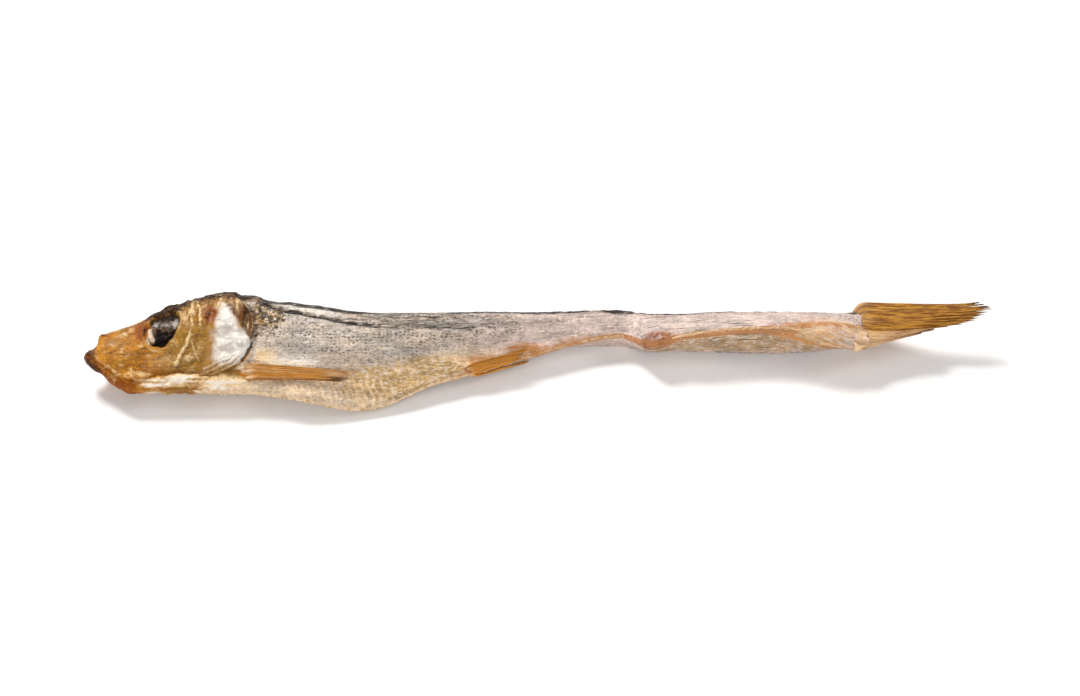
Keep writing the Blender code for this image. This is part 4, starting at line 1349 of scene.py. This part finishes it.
class SPRAT_OT_scales(bpy.types.Operator):
    """Makes the few scales that are still in place at the shoulders"""

    bl_idname = "sprat.scales"
    bl_label = "Scales"

    def execute(self, context):
        random = np.random.default_rng(23)
        middles = []
        for side, _ in SIDES:
            for row, column in np.ndindex(8, 8):
                x = 21.5 + (column + row % 2 / 2) * SCALE_STEP[0] + 0.05 * random.normal()
                h = 3.5 - row * SCALE_STEP[1] - 0.09 * column + 0.05 * random.normal()
                if oval(x, h, *SCALE_PATCH) < 0.75 + 0.4 * random.random():
                    middles.append((x, h, side))
        rows, columns = SCALE_GRID
        s, t = np.meshgrid(np.linspace(-1, 1, rows), np.linspace(-1, 1, columns), indexing="ij")
        dx, dh = s * np.sqrt(1 - t**2 / 2), t * np.sqrt(1 - s**2 / 2)
        shells = []
        for x0, h0, side in middles:
            twist = 0.25 * random.normal()
            x = x0 + SCALE_RADIUS * (dx * np.cos(twist) - dh * np.sin(twist))
            h = h0 + SCALE_RADIUS * 0.95 * (dx * np.sin(twist) + dh * np.cos(twist))
            lift = 0.01 + 0.05 * (dx + 1) / 2 + 0.03 * random.random() + 0.02 * dh * random.normal()
            marks = {"fresh": 0 * x + random.random()}
            shells.append(plate(x, angle_of(x, h, side), side, lift, 0.05, marks))
        add_shells("scales", shells, loose_scale())
        return {"FINISHED"}


# Where the colours lie on each fin, from the share of its width, the way along a ray and chance


def breast_marks(share, along, chance):
    root = fall(along, 0.03, 0.12)
    tip = ramp(along, 0.66, 0.85) * (share < 0.7)
    return {
        "pale": 0.3 * hump(share, 0.35, 0.2) + 0.3 * tip + 0.5 * root + 0.3 * (chance < 0.25),
        "dark": 0.5 * hump(share, 0.05, 0.07) + 0.9 * hump(share, 0.97, 0.1) + 0.35 * (chance > 0.7),
        "burnt": 0.9 * ramp(along, 0.75, 0.9) * (share > 0.6),
        "warm": 0.8 + 0 * along,
    }


def belly_marks(share, along, chance):
    return {
        "pale": 0.25 - 0.2 * chance + 0.6 * fall(along, 0.0, 0.12),
        "dark": 0.5 * fall(share, 0.1, 0.5) * chance,
        "burnt": 0.3 * ramp(along, 0.8, 1.0),
        "warm": 1.2 + 0 * along,
    }


def back_and_vent_marks(share, along, chance):
    level = {"pale": 0.6 + 0.4 * chance, "dark": 0.1, "burnt": 0.0, "warm": 0.6}
    return {mark: value + 0 * along for mark, value in level.items()}


def tail_marks(share, along, chance):
    lower = ramp(share, 0.5, 0.62)
    return {
        "pale": 0.2 * chance + 0.6 * lower + 0.3 * fall(along, 0.12, 0.3),
        "dark": 0.45 * chance + 0.35 * ramp(along, 0.35, 0.8),
        "burnt": 0.7 * ramp(along, 0.88, 1.0) + 0.25 * hump(share, 0.53, 0.05) + 0.3 * hump(share, 0.1, 0.06),
        "warm": 0.2 * chance + 0 * along,
    }


class SPRAT_OT_breast_and_belly_fins(bpy.types.Operator):
    """Makes the two pairs of fins under the body, folded back against it"""

    bl_idname = "sprat.breast_and_belly_fins"
    bl_label = "Breast and belly fins"

    def execute(self, context):
        random = np.random.default_rng(31)
        thick = context.scene.sprat_sizes.ray / MM
        material = material_of(dried_fin)
        for side, word in SIDES:
            breast = partial(breast_fin, side=side)
            shells = ray_shells(breast, BREAST_RAYS, thick * 0.85, random, 0.3, 0.12, breast_marks)
            add_shells(f"breast_fin_{word}", shells, material)
            belly = partial(belly_fin, side=side)
            shells = ray_shells(belly, BELLY_RAYS, thick * 0.8, random, 0.2, 0.1, belly_marks)
            add_shells(f"belly_fin_{word}", shells, material)
        return {"FINISHED"}


class SPRAT_OT_back_and_vent_fins(bpy.types.Operator):
    """Makes the back fin and the low fin behind the vent"""

    bl_idname = "sprat.back_and_vent_fins"
    bl_label = "Back and vent fins"

    def execute(self, context):
        random = np.random.default_rng(37)
        thick = context.scene.sprat_sizes.ray / MM * 0.8
        for name, fin, rays, splay, fray in (
            ("back_fin", back_fin, BACK_RAYS, 0.4, 0.2),
            ("vent_fin", vent_fin, VENT_RAYS, 0.1, 0.1),
        ):
            shells = ray_shells(fin, rays, thick, random, splay, fray, back_and_vent_marks)
            add_shells(name, shells, material_of(dried_fin))
        return {"FINISHED"}


class SPRAT_OT_tail(bpy.types.Operator):
    """Makes the tail fin with its parted and frayed rays"""

    bl_idname = "sprat.tail"
    bl_label = "Tail fin"

    def execute(self, context):
        random = np.random.default_rng(41)
        thick = context.scene.sprat_sizes.ray / MM * 1.35
        shells = ray_shells(tail_fin, TAIL_RAYS, thick, random, 0.25, 0.05, tail_marks, 1.6)
        add_shells("tail_fin", shells, material_of(dried_fin))
        return {"FINISHED"}


def aimed(name, data, place, target):
    """A lamp or camera at a place, turned to its target."""
    thing = bpy.data.objects.new(name, data)
    thing.location = place
    thing.rotation_euler = (target - place).to_track_quat("-Z", "Y").to_euler()
    bpy.context.scene.collection.objects.link(thing)
    return thing


class SPRAT_OT_stage(bpy.types.Operator):
    """Makes the plain floor, the soft lights and the camera"""

    bl_idname = "sprat.stage"
    bl_label = "Stage"

    def execute(self, context):
        scene = context.scene
        # matt paper: no gloss, and its fibres, too thin to show, as faint lumps 1.1 mm long
        material, tree, shader = start_material("matt_paper", roughness=0.9)
        inputs = {"Vector": add_node(tree, "TexCoord", output="Object"), "Scale": 0.9 / MM, "Detail": 3.0}
        fibre = add_node(tree, "TexNoise", inputs)
        fibre = add_node(tree, "MapRange", (fibre, 0.3, 0.7, 0.0, 0.03), **SMOOTH)
        paper = add_node(tree, "Mix", {0: fibre, 6: shade("floor"), 7: shade("rear")}, **MIX)
        tree.links.new(paper, shader.inputs["Base Color"])
        mesh = bpy.data.meshes.new("floor")
        corners = [(x * FLOOR_REACH, y * FLOOR_REACH, 0) for x, y in ((-1, -1), (1, -1), (1, 1), (-1, 1))]
        mesh.from_pydata(corners, [], [(0, 1, 2, 3)])
        mesh.materials.append(material)
        floor = bpy.data.objects.new("floor", mesh)
        scene.collection.objects.link(floor)

        world = bpy.data.worlds.new("studio")
        world.use_nodes = True
        background = world.node_tree.nodes["Background"]
        background.inputs["Color"].default_value = (1.0, 1.0, 1.0, 1.0)
        background.inputs["Strength"].default_value = ROOM_LIGHT
        scene.world = world
        for name, (place, size, watts) in LIGHTS.items():
            light = bpy.data.lights.new(name, "AREA")
            light.size = size
            light.energy = watts
            aimed(name, light, Vector(place), Vector(LIGHTS_AIM))

        camera = bpy.data.cameras.new("camera")
        camera.sensor_width = SENSOR
        camera.lens = FOCAL_LENGTH
        camera.clip_start = 0.01
        elevation = np.radians(ELEVATION)
        distance = FOCAL_LENGTH / SENSOR * SEEN_WIDTH
        target = Vector(CAMERA_AIM)
        place = target + distance * Vector((0.0, -np.cos(elevation), np.sin(elevation)))
        scene.camera = aimed("camera", camera, place, target)
        scene.view_settings.view_transform = "Standard"
        return {"FINISHED"}


class SPRAT_PT_panel(bpy.types.Panel):
    """Lists the pieces of the fish"""

    bl_label = "Dried sprat"
    bl_space_type = "VIEW_3D"
    bl_region_type = "UI"
    bl_category = "Sprat"

    def draw(self, context):
        for operator in OPERATORS:
            self.layout.operator(operator.bl_idname)
        for group in (context.scene.sprat_sizes, context.scene.sprat_colours):
            for name in group.bl_rna.properties.keys():
                if name not in ("rna_type", "name"):
                    self.layout.prop(group, name)


OPERATORS = (
    SPRAT_OT_head,
    SPRAT_OT_body,
    SPRAT_OT_eyes,
    SPRAT_OT_gill_covers,
    SPRAT_OT_scutes,
    SPRAT_OT_scales,
    SPRAT_OT_breast_and_belly_fins,
    SPRAT_OT_back_and_vent_fins,
    SPRAT_OT_tail,
    SPRAT_OT_stage,
)
CLASSES = (SpratSizes, SpratColours, *OPERATORS, SPRAT_PT_panel)


def register():
    for each in CLASSES:
        bpy.utils.register_class(each)
    bpy.types.Scene.sprat_sizes = PointerProperty(type=SpratSizes)
    bpy.types.Scene.sprat_colours = PointerProperty(type=SpratColours)


def unregister():
    del bpy.types.Scene.sprat_sizes
    del bpy.types.Scene.sprat_colours
    for each in reversed(CLASSES):
        bpy.utils.unregister_class(each)


def main():
    register()
    for operator in OPERATORS:
        group, name = operator.bl_idname.split(".")
        getattr(getattr(bpy.ops, group), name)()


if __name__ == "__main__":
    main()
